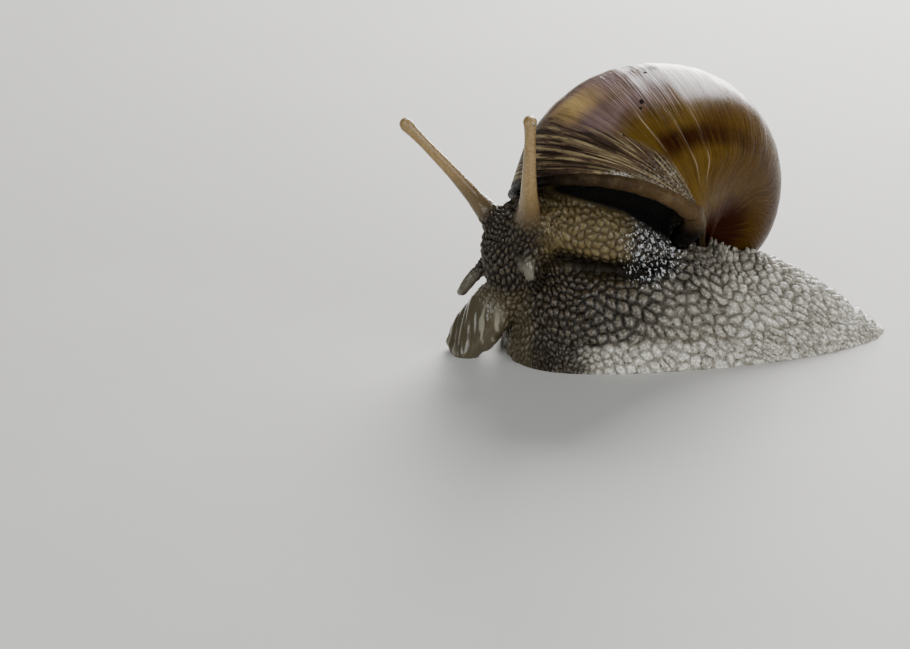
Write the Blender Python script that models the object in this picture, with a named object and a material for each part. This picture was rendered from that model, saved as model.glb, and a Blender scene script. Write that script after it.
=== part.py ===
"""Land snail, life size, crawling with head and feelers raised: the solids of a still museum model.

The head points along -X, the animal's left side lies along -Y, and the sole lies on Z = 0.
The shell is a spiral worked out in strips. The flesh is a few lofts run together into one body,
cut flat below, cleared of the shell, and parted by thin cuts. Sizes are in millimetres until a
mesh is made.
"""
import math

import bpy
import bmesh
import numpy as np
from mathutils import Matrix

MM = 0.001
TAU = 2.0 * math.pi

# ---- frame ----
PLAN_CENTRE = (-0.3, 6.65)            # middle of the whole box, in the sizes' own plan
GAP = 0.3                             # clearance between neighbouring pieces

# ---- shell: lengths are shares of SHELL_RADIUS unless said otherwise ----
SHELL_RADIUS = 26.7                   # mm, axis to the widest line of the last whorl
APEX = (-1.1, 29.9, 24.7)             # mm, where the spiral starts
AXIS_TURN = math.radians(-14.3)       # apex direction, turned from +Y towards -X
AXIS_RISE = math.radians(11.2)        # apex direction, raised above level
MOUTH_ROLL = math.radians(22.3)       # roll of the mouth about the shell axis
WHORL_GROWTH = 2.08                   # growth in one full turn
WHORLS = 4                            # whole turns before the last stretch
HALF_WIDTH = 0.50                     # whorl section, half its width across the axis
DROP = 0.96                           # middle of the section below the apex
HALF_UP = 0.54                        # half height on the apex side
HALF_DOWN = 0.68                      # half height on the base side
BASE_END = math.radians(-150)         # section angle where the base reaches the axis
BASE_DISH = 0.35                      # how far the base is dished towards the axis
BASE_BEND = 1.4                       # how the base runs in to the axis
SWELL = 0.20                          # extra width of the last whorl behind the lip
SWELL_AT = -0.46                      # radians from the lip
SWELL_SPREAD = 0.8                    # radians
BACK_SWELL = 0.17                     # the same at the back, low down
BACK_SWELL_AT = -3.4
BACK_SWELL_SPREAD = 0.7
PLUG = 0.88                           # how far the hollow round the axis is filled
LIP_SLANT = math.radians(37.5)        # slant of the lip against the axis
LIP_SOFTENING = 0.35                  # keeps the slant in bounds near the axis
LIP_START = -1.1                      # radians, where the slanted stretch begins
LIP_INSET = 0.93                      # inner edge of the lip, seen from the mouth's middle
MOUTH_MIDDLE = (0.62, -1.25)          # middle of the mouth: off the axis, below the apex
MOUTH_DEPTH = 0.12                    # recess behind the lip
RECESS_START = 0.05                   # the recess begins this far from the axis
RECESS_FULL = 0.35                    # and is full from here on

# ---- foot, mm ----
TAIL_X = 39.4
FRONT_X = -23.5
FOOT_Y = 0.9
FOOT_HALF_WIDTH = 14.3
FOOT_HEIGHTS = (17.3, 16.6)           # under the neck, and behind it
SOLE_SINK = 0.8                       # flesh below the sole's level, cut away later
FRINGE = 0.7                          # thickness of the foot's thin edge

# ---- neck and head, mm: x, y, z, half width, half height ----
NECK_PATH = ((13.0, 0.8, 7.0, 8.0, 5.5), (8.5, 0.8, 11.5, 10.0, 6.6), (0.0, 1.4, 17.0, 8.6, 8.0),
             (-8.0, 0.7, 19.8, 7.8, 7.8), (-15.0, 0.6, 20.2, 6.6, 7.0), (-19.8, 0.4, 20.2, 6.1, 5.4),
             (-22.4, -0.2, 18.0, 5.6, 4.8), (-22.7, -0.8, 14.6, 4.9, 4.4), (-23.1, -1.2, 11.6, 4.2, 3.6),
             (-23.5, -1.4, 9.6, 2.6, 2.2))
FACE_ACROSS = (0.640, -0.768, 0.0)    # level direction across the face, to the animal's left
LOBE_PATH = ((-22.5, 0.2, 10.5, 3.6, 2.6), (-25.2, 0.2, 7.8, 4.2, 3.0), (-28.0, 0.3, 4.2, 4.4, 2.6),
             (-30.6, 0.4, 1.4, 3.8, 1.7), (-32.4, 0.5, 0.2, 2.6, 1.0))
FEELER_SIDES = {
    "left": ((-21.5, -2.4, 19.4), (-21.0, -5.2, 24.6), (-21.6, -9.2, 30.6), (-21.9, -11.4, 36.8),
             (-22.1, -12.6, 42.8)),
    "right": ((-23.4, 1.8, 19.6), (-26.9, 4.4, 23.3), (-31.9, 5.4, 29.2), (-39.4, 7.0, 37.3)),
}
FEELER_WIDTHS = ((0.0, 3.3), (0.14, 2.55), (0.25, 1.95), (0.42, 1.35), (0.62, 1.05), (0.85, 0.86),
                 (0.92, 0.95), (0.965, 1.15), (0.99, 0.85), (1.0, 0.35))
FEELER_RINGS = 34
STUMP = 0.24                          # share of a feeler that belongs to the head
LIP_FEELER_SIDES = {
    "left": ((-20.4, -3.4, 18.6), (-21.1, -5.9, 16.6), (-20.8, -6.7, 13.9)),
    "right": ((-24.8, 2.0, 15.6), (-28.4, 2.2, 12.2), (-31.0, 2.4, 8.9)),
}
LIP_FEELER_WIDTHS = ((0.0, 1.8), (0.3, 1.25), (0.8, 0.80), (1.0, 0.55))
EYE_RADIUS = 0.36
EYE_RING = 0.95                       # share of a feeler where its eye sits
EYE_OFFSET = 0.93                     # eye's middle to the feeler's middle
EYE_SIDES = {"left": (0.36, -0.85, 0.36), "right": (-0.30, -0.60, 0.75)}

# ---- cuts: a point on the cut and its upward or forward direction ----
TAIL_CUT = ((16.0, 0, 0), (1, 0, 0))
FRONT_CUT = ((-9.0, 0, 0), (1, 0, 0))
NECK_CUT = ((-8.0, 0, 14.2), (-0.22, 0, 1))
HEAD_CUT = ((-17.0, 0, 19.0), (1, 0.12, 0.25))
MOUTH_BACK_CUT = ((-19.6, 0, 12.0), (1, 0.2, 0))
MOUTH_TOP_CUT = ((-23.0, 0, 13.4), (0.1, 0.1, 1))
MANTLE_CUT = ((-5.0, -1.5, 22.6), (0.15, 0.29, 0.94))

# ---- mesh ----
FLESH_VOXEL = 0.55
FLESH_SMOOTHING = 7
FLESH_TRIANGLES = 2800
SLIVER = 0.004                        # mm, edges shorter than this are collapsed
CRUMB_POINTS = 12                     # a cut-off crumb has fewer points than this

SHARP_ANGLE = math.radians(45)

# ---- finishes: colour and roughness of the pieces whose names start so ----
FINISHES = {
    "shell": ((0.20, 0.095, 0.035), 0.30),
    "eye_feeler": ((0.42, 0.33, 0.21), 0.45),
    "lip_feeler": ((0.20, 0.17, 0.12), 0.40),
    "eye": ((0.010, 0.010, 0.012), 0.15),
    "tail": ((0.45, 0.42, 0.36), 0.40),
    "foot_middle": ((0.24, 0.22, 0.18), 0.40),
    "foot_front": ((0.20, 0.18, 0.14), 0.40),
    "neck": ((0.14, 0.12, 0.07), 0.40),
    "head": ((0.11, 0.09, 0.05), 0.40),
    "mouth": ((0.09, 0.07, 0.05), 0.40),
    "mantle": ((0.06, 0.05, 0.04), 0.45),
}


# ------------------------------------------------------------------ objects and meshes
def clear_scene():
    """Remove every object of the open file."""
    for obj in list(bpy.data.objects):
        bpy.data.objects.remove(obj, do_unlink=True)


def make_material(name, colour, roughness):
    """A Principled material of one colour."""
    material = bpy.data.materials.new(name)
    material.use_nodes = True
    shader = material.node_tree.nodes["Principled BSDF"]
    shader.inputs["Base Color"].default_value = (*colour, 1.0)
    shader.inputs["Roughness"].default_value = roughness
    return material


def add_object(name, points, faces):
    """Object of a closed mesh from points in millimetres, in triangles turned outwards."""
    work = bmesh.new()
    mesh = bpy.data.meshes.new(name)
    mesh.from_pydata((np.asarray(points) * MM).tolist(), [], faces)
    work.from_mesh(mesh)
    bmesh.ops.recalc_face_normals(work, faces=work.faces)
    bmesh.ops.triangulate(work, faces=work.faces)
    work.to_mesh(mesh)
    work.free()
    obj = bpy.data.objects.new(name, mesh)
    bpy.context.scene.collection.objects.link(obj)
    return obj


def copy_object(obj, name):
    """Object with its own copy of another's mesh."""
    copy = bpy.data.objects.new(name, obj.data.copy())
    bpy.context.scene.collection.objects.link(copy)
    return copy


def discard(*helpers):
    """Remove helper objects."""
    for obj in helpers:
        bpy.data.objects.remove(obj, do_unlink=True)


def keep_evaluated(obj):
    """Make an object's evaluated shape its own mesh."""
    depsgraph = bpy.context.evaluated_depsgraph_get()
    mesh = bpy.data.meshes.new_from_object(obj.evaluated_get(depsgraph))
    obj.modifiers.clear()
    obj.data = mesh


def combine(obj, tool, operation, folded=False):
    """Boolean an object with a tool; folded allows for a tool that crosses itself."""
    step = obj.modifiers.new("Combine", "BOOLEAN")
    step.operation = operation
    step.solver = "EXACT"
    step.use_self = folded
    step.object = tool
    keep_evaluated(obj)


def grown(obj, distance):
    """Copy of an object with its surface moved outwards."""
    copy = copy_object(obj, obj.name + "_grown")
    mesh = copy.data
    count = len(mesh.vertices)
    points, normals = np.empty(count * 3), np.empty(count * 3)
    mesh.vertices.foreach_get("co", points)
    mesh.vertices.foreach_get("normal", normals)
    mesh.vertices.foreach_set("co", points + normals * distance * MM)
    mesh.update()
    return copy


def unit(vector):
    """The same direction, one long."""
    vector = np.asarray(vector, dtype=float)
    return vector / np.linalg.norm(vector)


# ------------------------------------------------------------------ shell
def growth(spiral):
    """Size of the whorl at a spiral angle, one at the lip."""
    return np.exp(math.log(WHORL_GROWTH) * spiral / TAU)


def step(low, high, value):
    """Rise smoothly from 0 at low to 1 at high."""
    share = np.clip((value - low) / (high - low), 0, 1)
    return share * share * (3 - 2 * share)


def section(spiral, angle):
    """Distance from the axis and height of the outer surface, as shares.

    The section is a half ellipse on each side of its widest line. Past its lowest line it runs in
    to the axis as a shallow dish, which is filled except at the lip.
    """
    swell = 1 + SWELL * np.exp(-((spiral - SWELL_AT) / SWELL_SPREAD) ** 2)
    swell = swell + BACK_SWELL * np.exp(-((spiral - BACK_SWELL_AT) / BACK_SWELL_SPREAD) ** 2)
    dish = BASE_DISH * (1 - PLUG * step(-0.95, -1.5, spiral) * step(-5.6, -4.6, spiral))
    middle = 1 - HALF_WIDTH
    inward = np.clip((-math.pi / 2 - angle) / (-math.pi / 2 - BASE_END), 0, 1)
    on_base = angle < -math.pi / 2
    radius = np.where(on_base, middle * (1 - inward ** BASE_BEND), middle + HALF_WIDTH * swell * np.cos(angle))
    height = np.where(on_base, dish * inward ** 2 - 1, np.sin(angle))
    half_height = np.where(angle > 0, HALF_UP, HALF_DOWN) * swell
    return growth(spiral) * radius, growth(spiral) * (half_height * height - DROP)


def lip_spiral(angle):
    """Spiral angle of the slanted lip at a section angle."""
    across = 1 - HALF_WIDTH + HALF_WIDTH * np.cos(angle)
    rise = np.where(angle > 0, HALF_UP, HALF_DOWN) * np.sin(angle)
    return np.arctan2(math.tan(LIP_SLANT) * rise, np.hypot(across, LIP_SOFTENING))


def seam_angles(spiral):
    """Section angles where a whorl meets the one before it: on itself, then on that one.

    Halving finds the first point of the whorl's section that lies on the earlier ellipse.
    """
    before = growth(spiral - TAU)
    low, high = np.zeros_like(spiral), np.full_like(spiral, 2.2)
    for _ in range(40):
        angle = (low + high) / 2
        radius, height = section(spiral, angle)
        across = (radius - (1 - HALF_WIDTH) * before) / (HALF_WIDTH * before)
        rise = height + DROP * before
        up = rise / (np.where(rise > 0, HALF_UP, HALF_DOWN) * before)
        outside = np.hypot(across, up) > 1
        low, high = np.where(outside, angle, low), np.where(outside, high, angle)
    return angle, np.arctan2(up, across)


def lip_seam():
    """Spiral angle where the lip meets the whorl before it."""
    spiral = np.array([0.4])
    for _ in range(60):
        spiral = lip_spiral(seam_angles(spiral)[0])
    return float(spiral[0])


def shell_axes():
    """Matrix whose columns are the shell's own axes: to the lip, back from the mouth, to the apex."""
    apex = np.array([math.sin(AXIS_TURN) * math.cos(AXIS_RISE),
                     math.cos(AXIS_TURN) * math.cos(AXIS_RISE), math.sin(AXIS_RISE)])
    forward = np.array([-1.0, 0.0, 0.0])
    forward = unit(forward - apex * (forward @ apex))
    lip = forward * math.cos(MOUTH_ROLL) + np.cross(apex, forward) * math.sin(MOUTH_ROLL)
    return np.stack([lip, np.cross(apex, lip), apex], axis=1)


def shell_point(radius, spiral, height):
    """Points in the shell's own axes, in shares."""
    return np.stack(np.broadcast_arrays(radius * np.cos(spiral), -radius * np.sin(spiral), height), axis=-1)


def from_shell(points):
    """Points in millimetres from points in the shell's own axes."""
    return SHELL_RADIUS * np.asarray(points) @ shell_axes().T + np.array(APEX)


class ShellSurface:
    """Points and faces of the shell: strips of columns, closed at the apex and in the mouth.

    Each column runs up the exposed part of a whorl. Its top point is the lowest exposed point of
    the whorl before, so the whorls meet in one seam.
    """

    LIP_COLUMNS = 7
    TURN_COLUMNS = 24
    UPPER_ROWS = 6
    LOWER_ROWS = 9

    def __init__(self):
        self.points = []
        self.faces = []
        self.seam = lip_seam()
        self.split = float(seam_angles(np.array([self.seam]))[1][0])
        lip_part = np.linspace(LIP_START, self.seam, self.LIP_COLUMNS)
        turn_part = np.linspace(self.seam, LIP_START + TAU, self.TURN_COLUMNS)[1:-1]
        self.turn = np.concatenate([lip_part, turn_part])
        self.upper = []
        self.lower = []

    def build(self):
        """Make every column, join neighbours, and close both ends."""
        apex = self.add((0, 0, -HALF_DOWN * growth(LIP_START - WHORLS * TAU)))[0]
        tops = [apex] * len(self.turn)
        for count in range(WHORLS, 0, -1):
            tops = self.whorl(count, tops)
        self.faces += [(apex, after, here) for here, after in zip(self.upper[0][:-2], self.upper[0][1:-1])]
        self.base_columns()
        self.lip_columns(tops)
        for columns in (self.upper, self.lower):
            for left, right in zip(columns, columns[1:]):
                self.strip(left, right)
        self.close_mouth(tops[self.LIP_COLUMNS - 1])
        return from_shell(self.points), self.faces

    def add(self, points):
        """Store points and return their numbers."""
        first = len(self.points)
        self.points.extend(np.reshape(points, (-1, 3)).tolist())
        return list(range(first, len(self.points)))

    def strip(self, left, right):
        """Faces between two columns, three-sided where the columns share a point."""
        for corners in zip(left, right, right[1:], left[1:]):
            corners = tuple(dict.fromkeys(corners))
            if len(corners) > 2:
                self.faces.append(corners)

    def column(self, spiral, angles):
        """Points of one column on the outer surface."""
        radius, height = section(spiral, angles)
        return self.add(shell_point(radius, spiral, height))

    def whorl(self, count, tops):
        """Upper columns of a whole turn; returns the seam points for the turn after it."""
        spirals = self.turn - count * TAU
        high = seam_angles(spirals)[0]
        low = seam_angles(spirals + TAU)[1]
        if count == 1:
            low[self.LIP_COLUMNS:] = self.split
        columns = []
        for spiral, bottom, crown, top in zip(spirals, low, high, tops):
            angles = np.linspace(bottom, crown, self.UPPER_ROWS + 1)[:-1]
            columns.append(self.column(spiral, angles) + [top])
        self.upper += columns
        return [column[0] for column in columns]

    def base_columns(self):
        """Columns of the last turn's base, from the axis out to the split line."""
        angles = np.linspace(BASE_END, self.split, self.LOWER_ROWS + 1)[:-1]
        spirals = self.turn[self.LIP_COLUMNS - 1:] - TAU
        for spiral, upper in zip(spirals, self.upper[-len(spirals):]):
            self.lower.append(self.column(spiral, angles) + [upper[0]])

    def lip_columns(self, tops):
        """Columns of the last stretch, which turn gradually into the slanted lip."""
        lower = np.linspace(BASE_END, self.split, self.LOWER_ROWS + 1)[:-1]
        spirals = self.turn[:self.LIP_COLUMNS]
        shares = np.linspace(0, 1, self.LIP_COLUMNS)
        for crown, share, top in zip(seam_angles(spirals)[0], shares, tops):
            upper = np.linspace(self.split, crown, self.UPPER_ROWS + 1)[:-1]
            self.upper.append(self.column(LIP_START + (lip_spiral(upper) - LIP_START) * share, upper) + [top])
            base = self.column(LIP_START + (lip_spiral(lower) - LIP_START) * share, lower)
            self.lower.append(base + [self.upper[-1][0]])

    def mouth_loop(self, seam_point):
        """Numbers of the points round the mouth: the lip, the seam, the inner wall and the axis."""
        lip = self.lower[-1][:-1] + self.upper[-1][:-1] + [seam_point]
        wall = self.lower[0][-2::-1]
        axis = [column[0] for column in self.lower[1:-1]]
        return lip + wall + axis

    def mouth_ring(self, loop, share, depth):
        """Points of a loop drawn in towards the mouth's middle, then wound back into the shell."""
        loop = np.array(self.points)[loop]
        middle = np.array([MOUTH_MIDDLE[0], loop[:, 1].mean(), MOUTH_MIDDLE[1]])
        ring = middle + share * (loop - middle)
        radius, spiral = np.hypot(ring[:, 0], ring[:, 1]), np.arctan2(-ring[:, 1], ring[:, 0])
        recess = np.clip((radius - RECESS_START) / (RECESS_FULL - RECESS_START), 0, 1)
        back = depth * MOUTH_DEPTH * recess ** 2 * (3 - 2 * recess) / np.maximum(radius, RECESS_START)
        size = growth(-back)
        return shell_point(radius * size, spiral - back, ring[:, 2] * size)

    def close_mouth(self, seam_point):
        """The lip's thickness, the wall behind it and the floor of the recess."""
        self.loop = self.mouth_loop(seam_point)
        ring = self.loop
        for share, depth in ((LIP_INSET, 0.0), (LIP_INSET - 0.03, 0.7), (0.8, 1.0), (0.45, 1.0)):
            inner = self.add(self.mouth_ring(self.loop, share, depth))
            self.strip(ring + ring[:1], inner + inner[:1])
            ring = inner
        middle = self.add(self.mouth_ring(self.loop, 0.0, 1.0)[:1])[0]
        self.faces += [(here, after, middle) for here, after in zip(ring, ring[1:] + ring[:1])]

    def collar(self):
        """Points and faces of the mantle collar, a lens that lies in the mouth's recess."""
        rim = self.mouth_ring(self.loop, LIP_INSET - 0.05, 0.45)
        back = self.mouth_ring(self.loop, 0.5, 0.9)
        front = self.mouth_ring(self.loop, 0.5, -0.3)
        rings = np.stack([back, rim, front])
        return skin_rings(from_shell(rings))


# ------------------------------------------------------------------ flesh
def skin_rings(rings):
    """Points and faces of a skin over closed rings, each end closed by a fan."""
    count, sides = rings.shape[:2]
    points = rings.reshape(-1, 3).tolist()
    step = [(k, (k + 1) % sides) for k in range(sides)]
    faces = [(low + k, low + after, low + sides + after, low + sides + k)
             for low in range(0, (count - 1) * sides, sides) for k, after in step]
    for first in (0, (count - 1) * sides):
        points.append(np.mean(points[first:first + sides], axis=0).tolist())
        faces += [(first + k, first + after, len(points) - 1) for k, after in step]
    return points, faces


def smooth_path(points, steps):
    """Rows spread along a Catmull-Rom curve through the given rows."""
    points = np.asarray(points, dtype=float)
    padded = np.vstack([2 * points[0] - points[1], points, 2 * points[-1] - points[-2]])
    along = np.linspace(0, len(points) - 1, steps)
    index = np.minimum(along.astype(int), len(points) - 2)
    share = (along - index)[:, None]
    before, start, end, after = (padded[index + k] for k in range(4))
    return 0.5 * (2 * start + (end - before) * share
                  + (2 * before - 5 * start + 4 * end - after) * share ** 2
                  + (3 * start - before - 3 * end + after) * share ** 3)


def tube(name, path, sides, across):
    """Closed tube along rows of x, y, z, half width and half height.

    Each ring stands square to the path, with its width as near as can be to the direction across.
    """
    centre = path[:, :3]
    tangent = np.gradient(centre, axis=0)
    tangent /= np.linalg.norm(tangent, axis=1, keepdims=True)
    side = unit(across) - tangent * (tangent @ unit(across))[:, None]
    side /= np.linalg.norm(side, axis=1, keepdims=True)
    rise = np.cross(tangent, side)
    angle = np.linspace(0, TAU, sides, endpoint=False)[:, None]
    rings = (centre[:, None] + side[:, None] * path[:, None, 3:4] * np.cos(angle)
             + rise[:, None] * path[:, None, 4:5] * np.sin(angle))
    return add_object(name, *skin_rings(rings))


def foot():
    """Loft of the foot: a rounded front, a long tapering tail and a thin edge all round."""
    share = (1 - np.cos(np.linspace(0.04, math.pi - 0.03, 44))) / 2
    x = FRONT_X + (TAIL_X - FRONT_X) * share
    back, front = np.clip(x / TAIL_X, 0, 1), np.clip(x / FRONT_X, 0, 1)
    half_width = FOOT_HALF_WIDTH * (1 - back ** 2) ** 0.58 * (1 - front ** 3) ** 0.34
    height = np.interp(x, (-5, 5), FOOT_HEIGHTS) * (1 - back ** 2.6) ** 1.15 * (1 - front ** 4.5) ** 0.5
    slope = np.interp(x, (FRONT_X, -12, 4, 15, 24), (0.55, 0.85, 0.95, 1.0, 1.25))[:, None]
    across = np.cos(np.linspace(0, math.pi, 21))
    rise = np.minimum(FRINGE, height)[:, None] + np.maximum(height - FRINGE, 0)[:, None] * (
        1 - np.abs(across) ** 2.2) ** slope
    under = np.linspace(-1, 1, 9)
    y = FOOT_Y + half_width[:, None] * np.concatenate([across, under])
    z = np.concatenate([rise, np.full((len(x), len(under)), -SOLE_SINK)], axis=1)
    rings = np.stack(np.broadcast_arrays(x[:, None], y, z), axis=-1)
    return add_object("foot", *skin_rings(rings))


def with_widths(points, widths, steps):
    """Path rows through points, with round sections of the widths given along its length."""
    path = smooth_path(points, steps)
    share = np.linspace(0, 1, steps)
    radius = np.interp(share, *np.transpose(widths))
    return np.column_stack([path, radius, radius])


def join_flesh(parts):
    """Run overlapping lofts together into one smooth body with a flat sole."""
    body = parts[0]
    for part in parts[1:]:
        work = bmesh.new()
        work.from_mesh(body.data)
        work.from_mesh(part.data)
        work.to_mesh(body.data)
        work.free()
    discard(*parts[1:])
    remesh = body.modifiers.new("Remesh", "REMESH")
    remesh.mode = "VOXEL"
    remesh.voxel_size = FLESH_VOXEL * MM
    smooth = body.modifiers.new("Smooth", "SMOOTH")
    smooth.factor = 0.5
    smooth.iterations = FLESH_SMOOTHING
    keep_evaluated(body)
    thin = body.modifiers.new("Thin", "DECIMATE")
    thin.ratio = FLESH_TRIANGLES / (2 * len(body.data.polygons))
    keep_evaluated(body)
    return body


def half_space_cell(limits, clearance=GAP / 2):
    """Large box cut back by planes, each moved inwards by the clearance.

    A limit is a cut and the side of it that is kept: 1 beyond it, -1 before it.
    """
    work = bmesh.new()
    bmesh.ops.create_cube(work, size=200 * MM)
    for (point, direction), side in limits:
        direction = unit(direction) * side
        point = (np.array(point) + direction * clearance) * MM
        result = bmesh.ops.bisect_plane(work, geom=work.verts[:] + work.edges[:] + work.faces[:],
                                        plane_co=point, plane_no=direction, clear_inner=True)
        rim = [item for item in result["geom_cut"] if isinstance(item, bmesh.types.BMEdge)]
        bmesh.ops.contextual_create(work, geom=rim)
    bmesh.ops.recalc_face_normals(work, faces=work.faces)
    mesh = bpy.data.meshes.new("cell")
    work.to_mesh(mesh)
    work.free()
    obj = bpy.data.objects.new("cell", mesh)
    bpy.context.scene.collection.objects.link(obj)
    return obj


def piece_of(body, name, limits, less=()):
    """Named piece of the flesh inside the given limits, less what lies inside another cell."""
    piece = copy_object(body, name)
    cell = half_space_cell(limits)
    combine(piece, cell, "INTERSECT")
    discard(cell)
    if less:
        cell = half_space_cell(less, -GAP / 2)
        combine(piece, cell, "DIFFERENCE")
        discard(cell)
    return piece


def tidy(obj):
    """Drop the slivers that the cuts leave: collapsed edges and crumbs of a few points."""
    work = bmesh.new()
    work.from_mesh(obj.data)
    bmesh.ops.dissolve_degenerate(work, dist=SLIVER * MM, edges=work.edges)
    unseen = set(work.verts)
    while unseen:
        group, edge = set(), {unseen.pop()}
        while edge:
            group |= edge
            edge = {e.other_vert(v) for v in edge for e in v.link_edges} - group
        unseen -= group
        if len(group) < CRUMB_POINTS:
            bmesh.ops.delete(work, geom=list(group), context="VERTS")
    work.to_mesh(obj.data)
    work.free()


def joined_body(surface):
    """Foot, neck, head, collar and feeler stumps as one body, its sole cut flat."""
    parts = [foot(),
             tube("neck_loft", smooth_path(NECK_PATH, 44), 20, FACE_ACROSS),
             tube("lobe_loft", smooth_path(LOBE_PATH, 20), 14, FACE_ACROSS),
             add_object("collar_loft", *surface.collar())]
    for points in FEELER_SIDES.values():
        path = with_widths(points, FEELER_WIDTHS, FEELER_RINGS)
        parts.append(tube("stump", path[:round(FEELER_RINGS * STUMP)], 14, FACE_ACROSS))
    body = join_flesh(parts)
    floor = half_space_cell([(((0, 0, -GAP / 2), (0, 0, 1)), 1)])
    combine(body, floor, "INTERSECT")
    discard(floor)
    return body


def flesh_pieces(shell, surface):
    """The flesh of the body as named pieces, clear of the shell and parted by thin cuts."""
    body = joined_body(surface)
    room = grown(shell, GAP)
    combine(body, room, "DIFFERENCE", folded=True)
    mouth_limits = [(HEAD_CUT, -1), (MOUTH_BACK_CUT, -1), (NECK_CUT, 1), (MOUTH_TOP_CUT, -1)]
    pieces = {
        "tail": piece_of(body, "tail", [(TAIL_CUT, 1)]),
        "foot_middle": piece_of(body, "foot_middle", [(TAIL_CUT, -1), (FRONT_CUT, 1), (NECK_CUT, -1)]),
        "foot_front": piece_of(body, "foot_front", [(FRONT_CUT, -1), (NECK_CUT, -1)]),
        "neck": piece_of(body, "neck", [(HEAD_CUT, 1), (NECK_CUT, 1), (MANTLE_CUT, -1), (TAIL_CUT, -1)]),
        "mantle": piece_of(body, "mantle", [(HEAD_CUT, 1), (MANTLE_CUT, 1), (NECK_CUT, 1)]),
        "mouth": piece_of(body, "mouth", mouth_limits),
        "head": piece_of(body, "head", [(HEAD_CUT, -1), (NECK_CUT, 1)],
                         less=[(MOUTH_BACK_CUT, -1), (MOUTH_TOP_CUT, -1)]),
    }
    discard(body, room)
    return pieces


def eye(side, feeler, path):
    """Small round eye sunk in the end of its feeler."""
    seat = path[round((FEELER_RINGS - 1) * EYE_RING), :3] + unit(EYE_SIDES[side]) * EYE_OFFSET
    angle = np.linspace(0, math.pi, 7)
    width = np.maximum(np.sin(angle), 0.08) * EYE_RADIUS
    rings = np.column_stack([seat - np.outer(np.cos(angle), (0, 0, EYE_RADIUS)), width, width])
    ball = tube(f"eye_{side}", rings, 8, (1, 0, 0))
    room = grown(ball, GAP)
    combine(feeler, room, "DIFFERENCE")
    discard(room)


def feelers(head, mouth):
    """Eye feelers with their eyes, and lip feelers, each standing clear of the head."""
    room, mouth_room = grown(head, GAP), grown(mouth, GAP)
    for side, points in FEELER_SIDES.items():
        path = with_widths(points, FEELER_WIDTHS, FEELER_RINGS)
        feeler = tube(f"eye_feeler_{side}", path[round(FEELER_RINGS * STUMP) - 1:], 8, FACE_ACROSS)
        combine(feeler, room, "DIFFERENCE", folded=True)
        eye(side, feeler, path)
    for side, points in LIP_FEELER_SIDES.items():
        path = with_widths(points, LIP_FEELER_WIDTHS, 10)
        feeler = tube(f"lip_feeler_{side}", path, 8, FACE_ACROSS)
        combine(feeler, room, "DIFFERENCE", folded=True)
        combine(feeler, mouth_room, "DIFFERENCE", folded=True)
    discard(room, mouth_room)


def finish(obj):
    """Tidy a piece, shade it, colour it and move it so that the box's middle is over the origin."""
    tidy(obj)
    obj.data.shade_smooth()
    obj.data.set_sharp_from_angle(angle=SHARP_ANGLE)
    obj.data.transform(Matrix.Translation((-PLAN_CENTRE[0] * MM, -PLAN_CENTRE[1] * MM, 0)))
    kind = next(kind for kind in FINISHES if obj.name.startswith(kind))
    obj.data.materials.clear()
    obj.data.materials.append(make_material(obj.name, *FINISHES[kind]))


def main():
    """Build the snail and put the middle of its box over the origin."""
    clear_scene()
    surface = ShellSurface()
    shell = add_object("shell", *surface.build())
    pieces = flesh_pieces(shell, surface)
    feelers(pieces["head"], pieces["mouth"])
    for obj in bpy.data.objects:
        finish(obj)


main()
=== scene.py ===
"""Land snail, life size, crawling with head and feelers raised: the visual model round its solids.

The head points along -X, the animal's left side lies along -Y and the sole lies on Z = 0. Shapes
are worked out in millimetres in the animal's own plan. Each finished mesh is in metres, moved so
that the middle of the whole box stands over the origin.
"""
from __future__ import annotations

import logging
import math
from dataclasses import dataclass, field
from enum import Enum
from typing import Any, Sequence

import bmesh
import bpy
import numpy as np
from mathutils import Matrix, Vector


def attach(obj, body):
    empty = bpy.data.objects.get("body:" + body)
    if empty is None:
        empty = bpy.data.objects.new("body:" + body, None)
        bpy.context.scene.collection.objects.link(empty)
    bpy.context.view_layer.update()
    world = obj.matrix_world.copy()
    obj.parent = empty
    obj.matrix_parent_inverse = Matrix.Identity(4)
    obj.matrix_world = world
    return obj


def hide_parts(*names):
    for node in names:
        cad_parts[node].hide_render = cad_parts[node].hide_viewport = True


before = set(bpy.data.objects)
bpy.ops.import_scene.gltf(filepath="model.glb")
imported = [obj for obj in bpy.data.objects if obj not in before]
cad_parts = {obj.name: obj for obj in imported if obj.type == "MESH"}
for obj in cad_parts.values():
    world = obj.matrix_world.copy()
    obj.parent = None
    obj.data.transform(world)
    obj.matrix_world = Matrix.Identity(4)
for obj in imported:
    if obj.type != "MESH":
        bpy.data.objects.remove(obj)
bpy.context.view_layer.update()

LOG = logging.getLogger("snail")
MM = 0.001
TAU = 2.0 * math.pi
PLAN_CENTRE = np.array([-0.3, 6.65, 0.0])
Array = np.ndarray
Colour = tuple[float, float, float]
Ramp = tuple[float, float]                   # the values at which a share is 0 and 1
Pair = tuple[float, float]                   # a strength everywhere, and what a zone adds to it
Place = tuple[float, float, float]
Pairs = tuple[tuple[float, float], ...]
Places = tuple[Place, ...]


# ------------------------------------------------------------------ numbers
def unit(vector: Sequence[float]) -> Array:
    """Return the same direction, one long."""
    vector = np.asarray(vector, dtype=float)
    return vector / np.linalg.norm(vector)


def step(low: float, high: float, value: Array) -> Array:
    """Rise from 0 at low to 1 at high: three times the share squared less twice its cube."""
    share = np.clip((value - low) / (high - low), 0, 1)
    return share * share * (3 - 2 * share)


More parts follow.
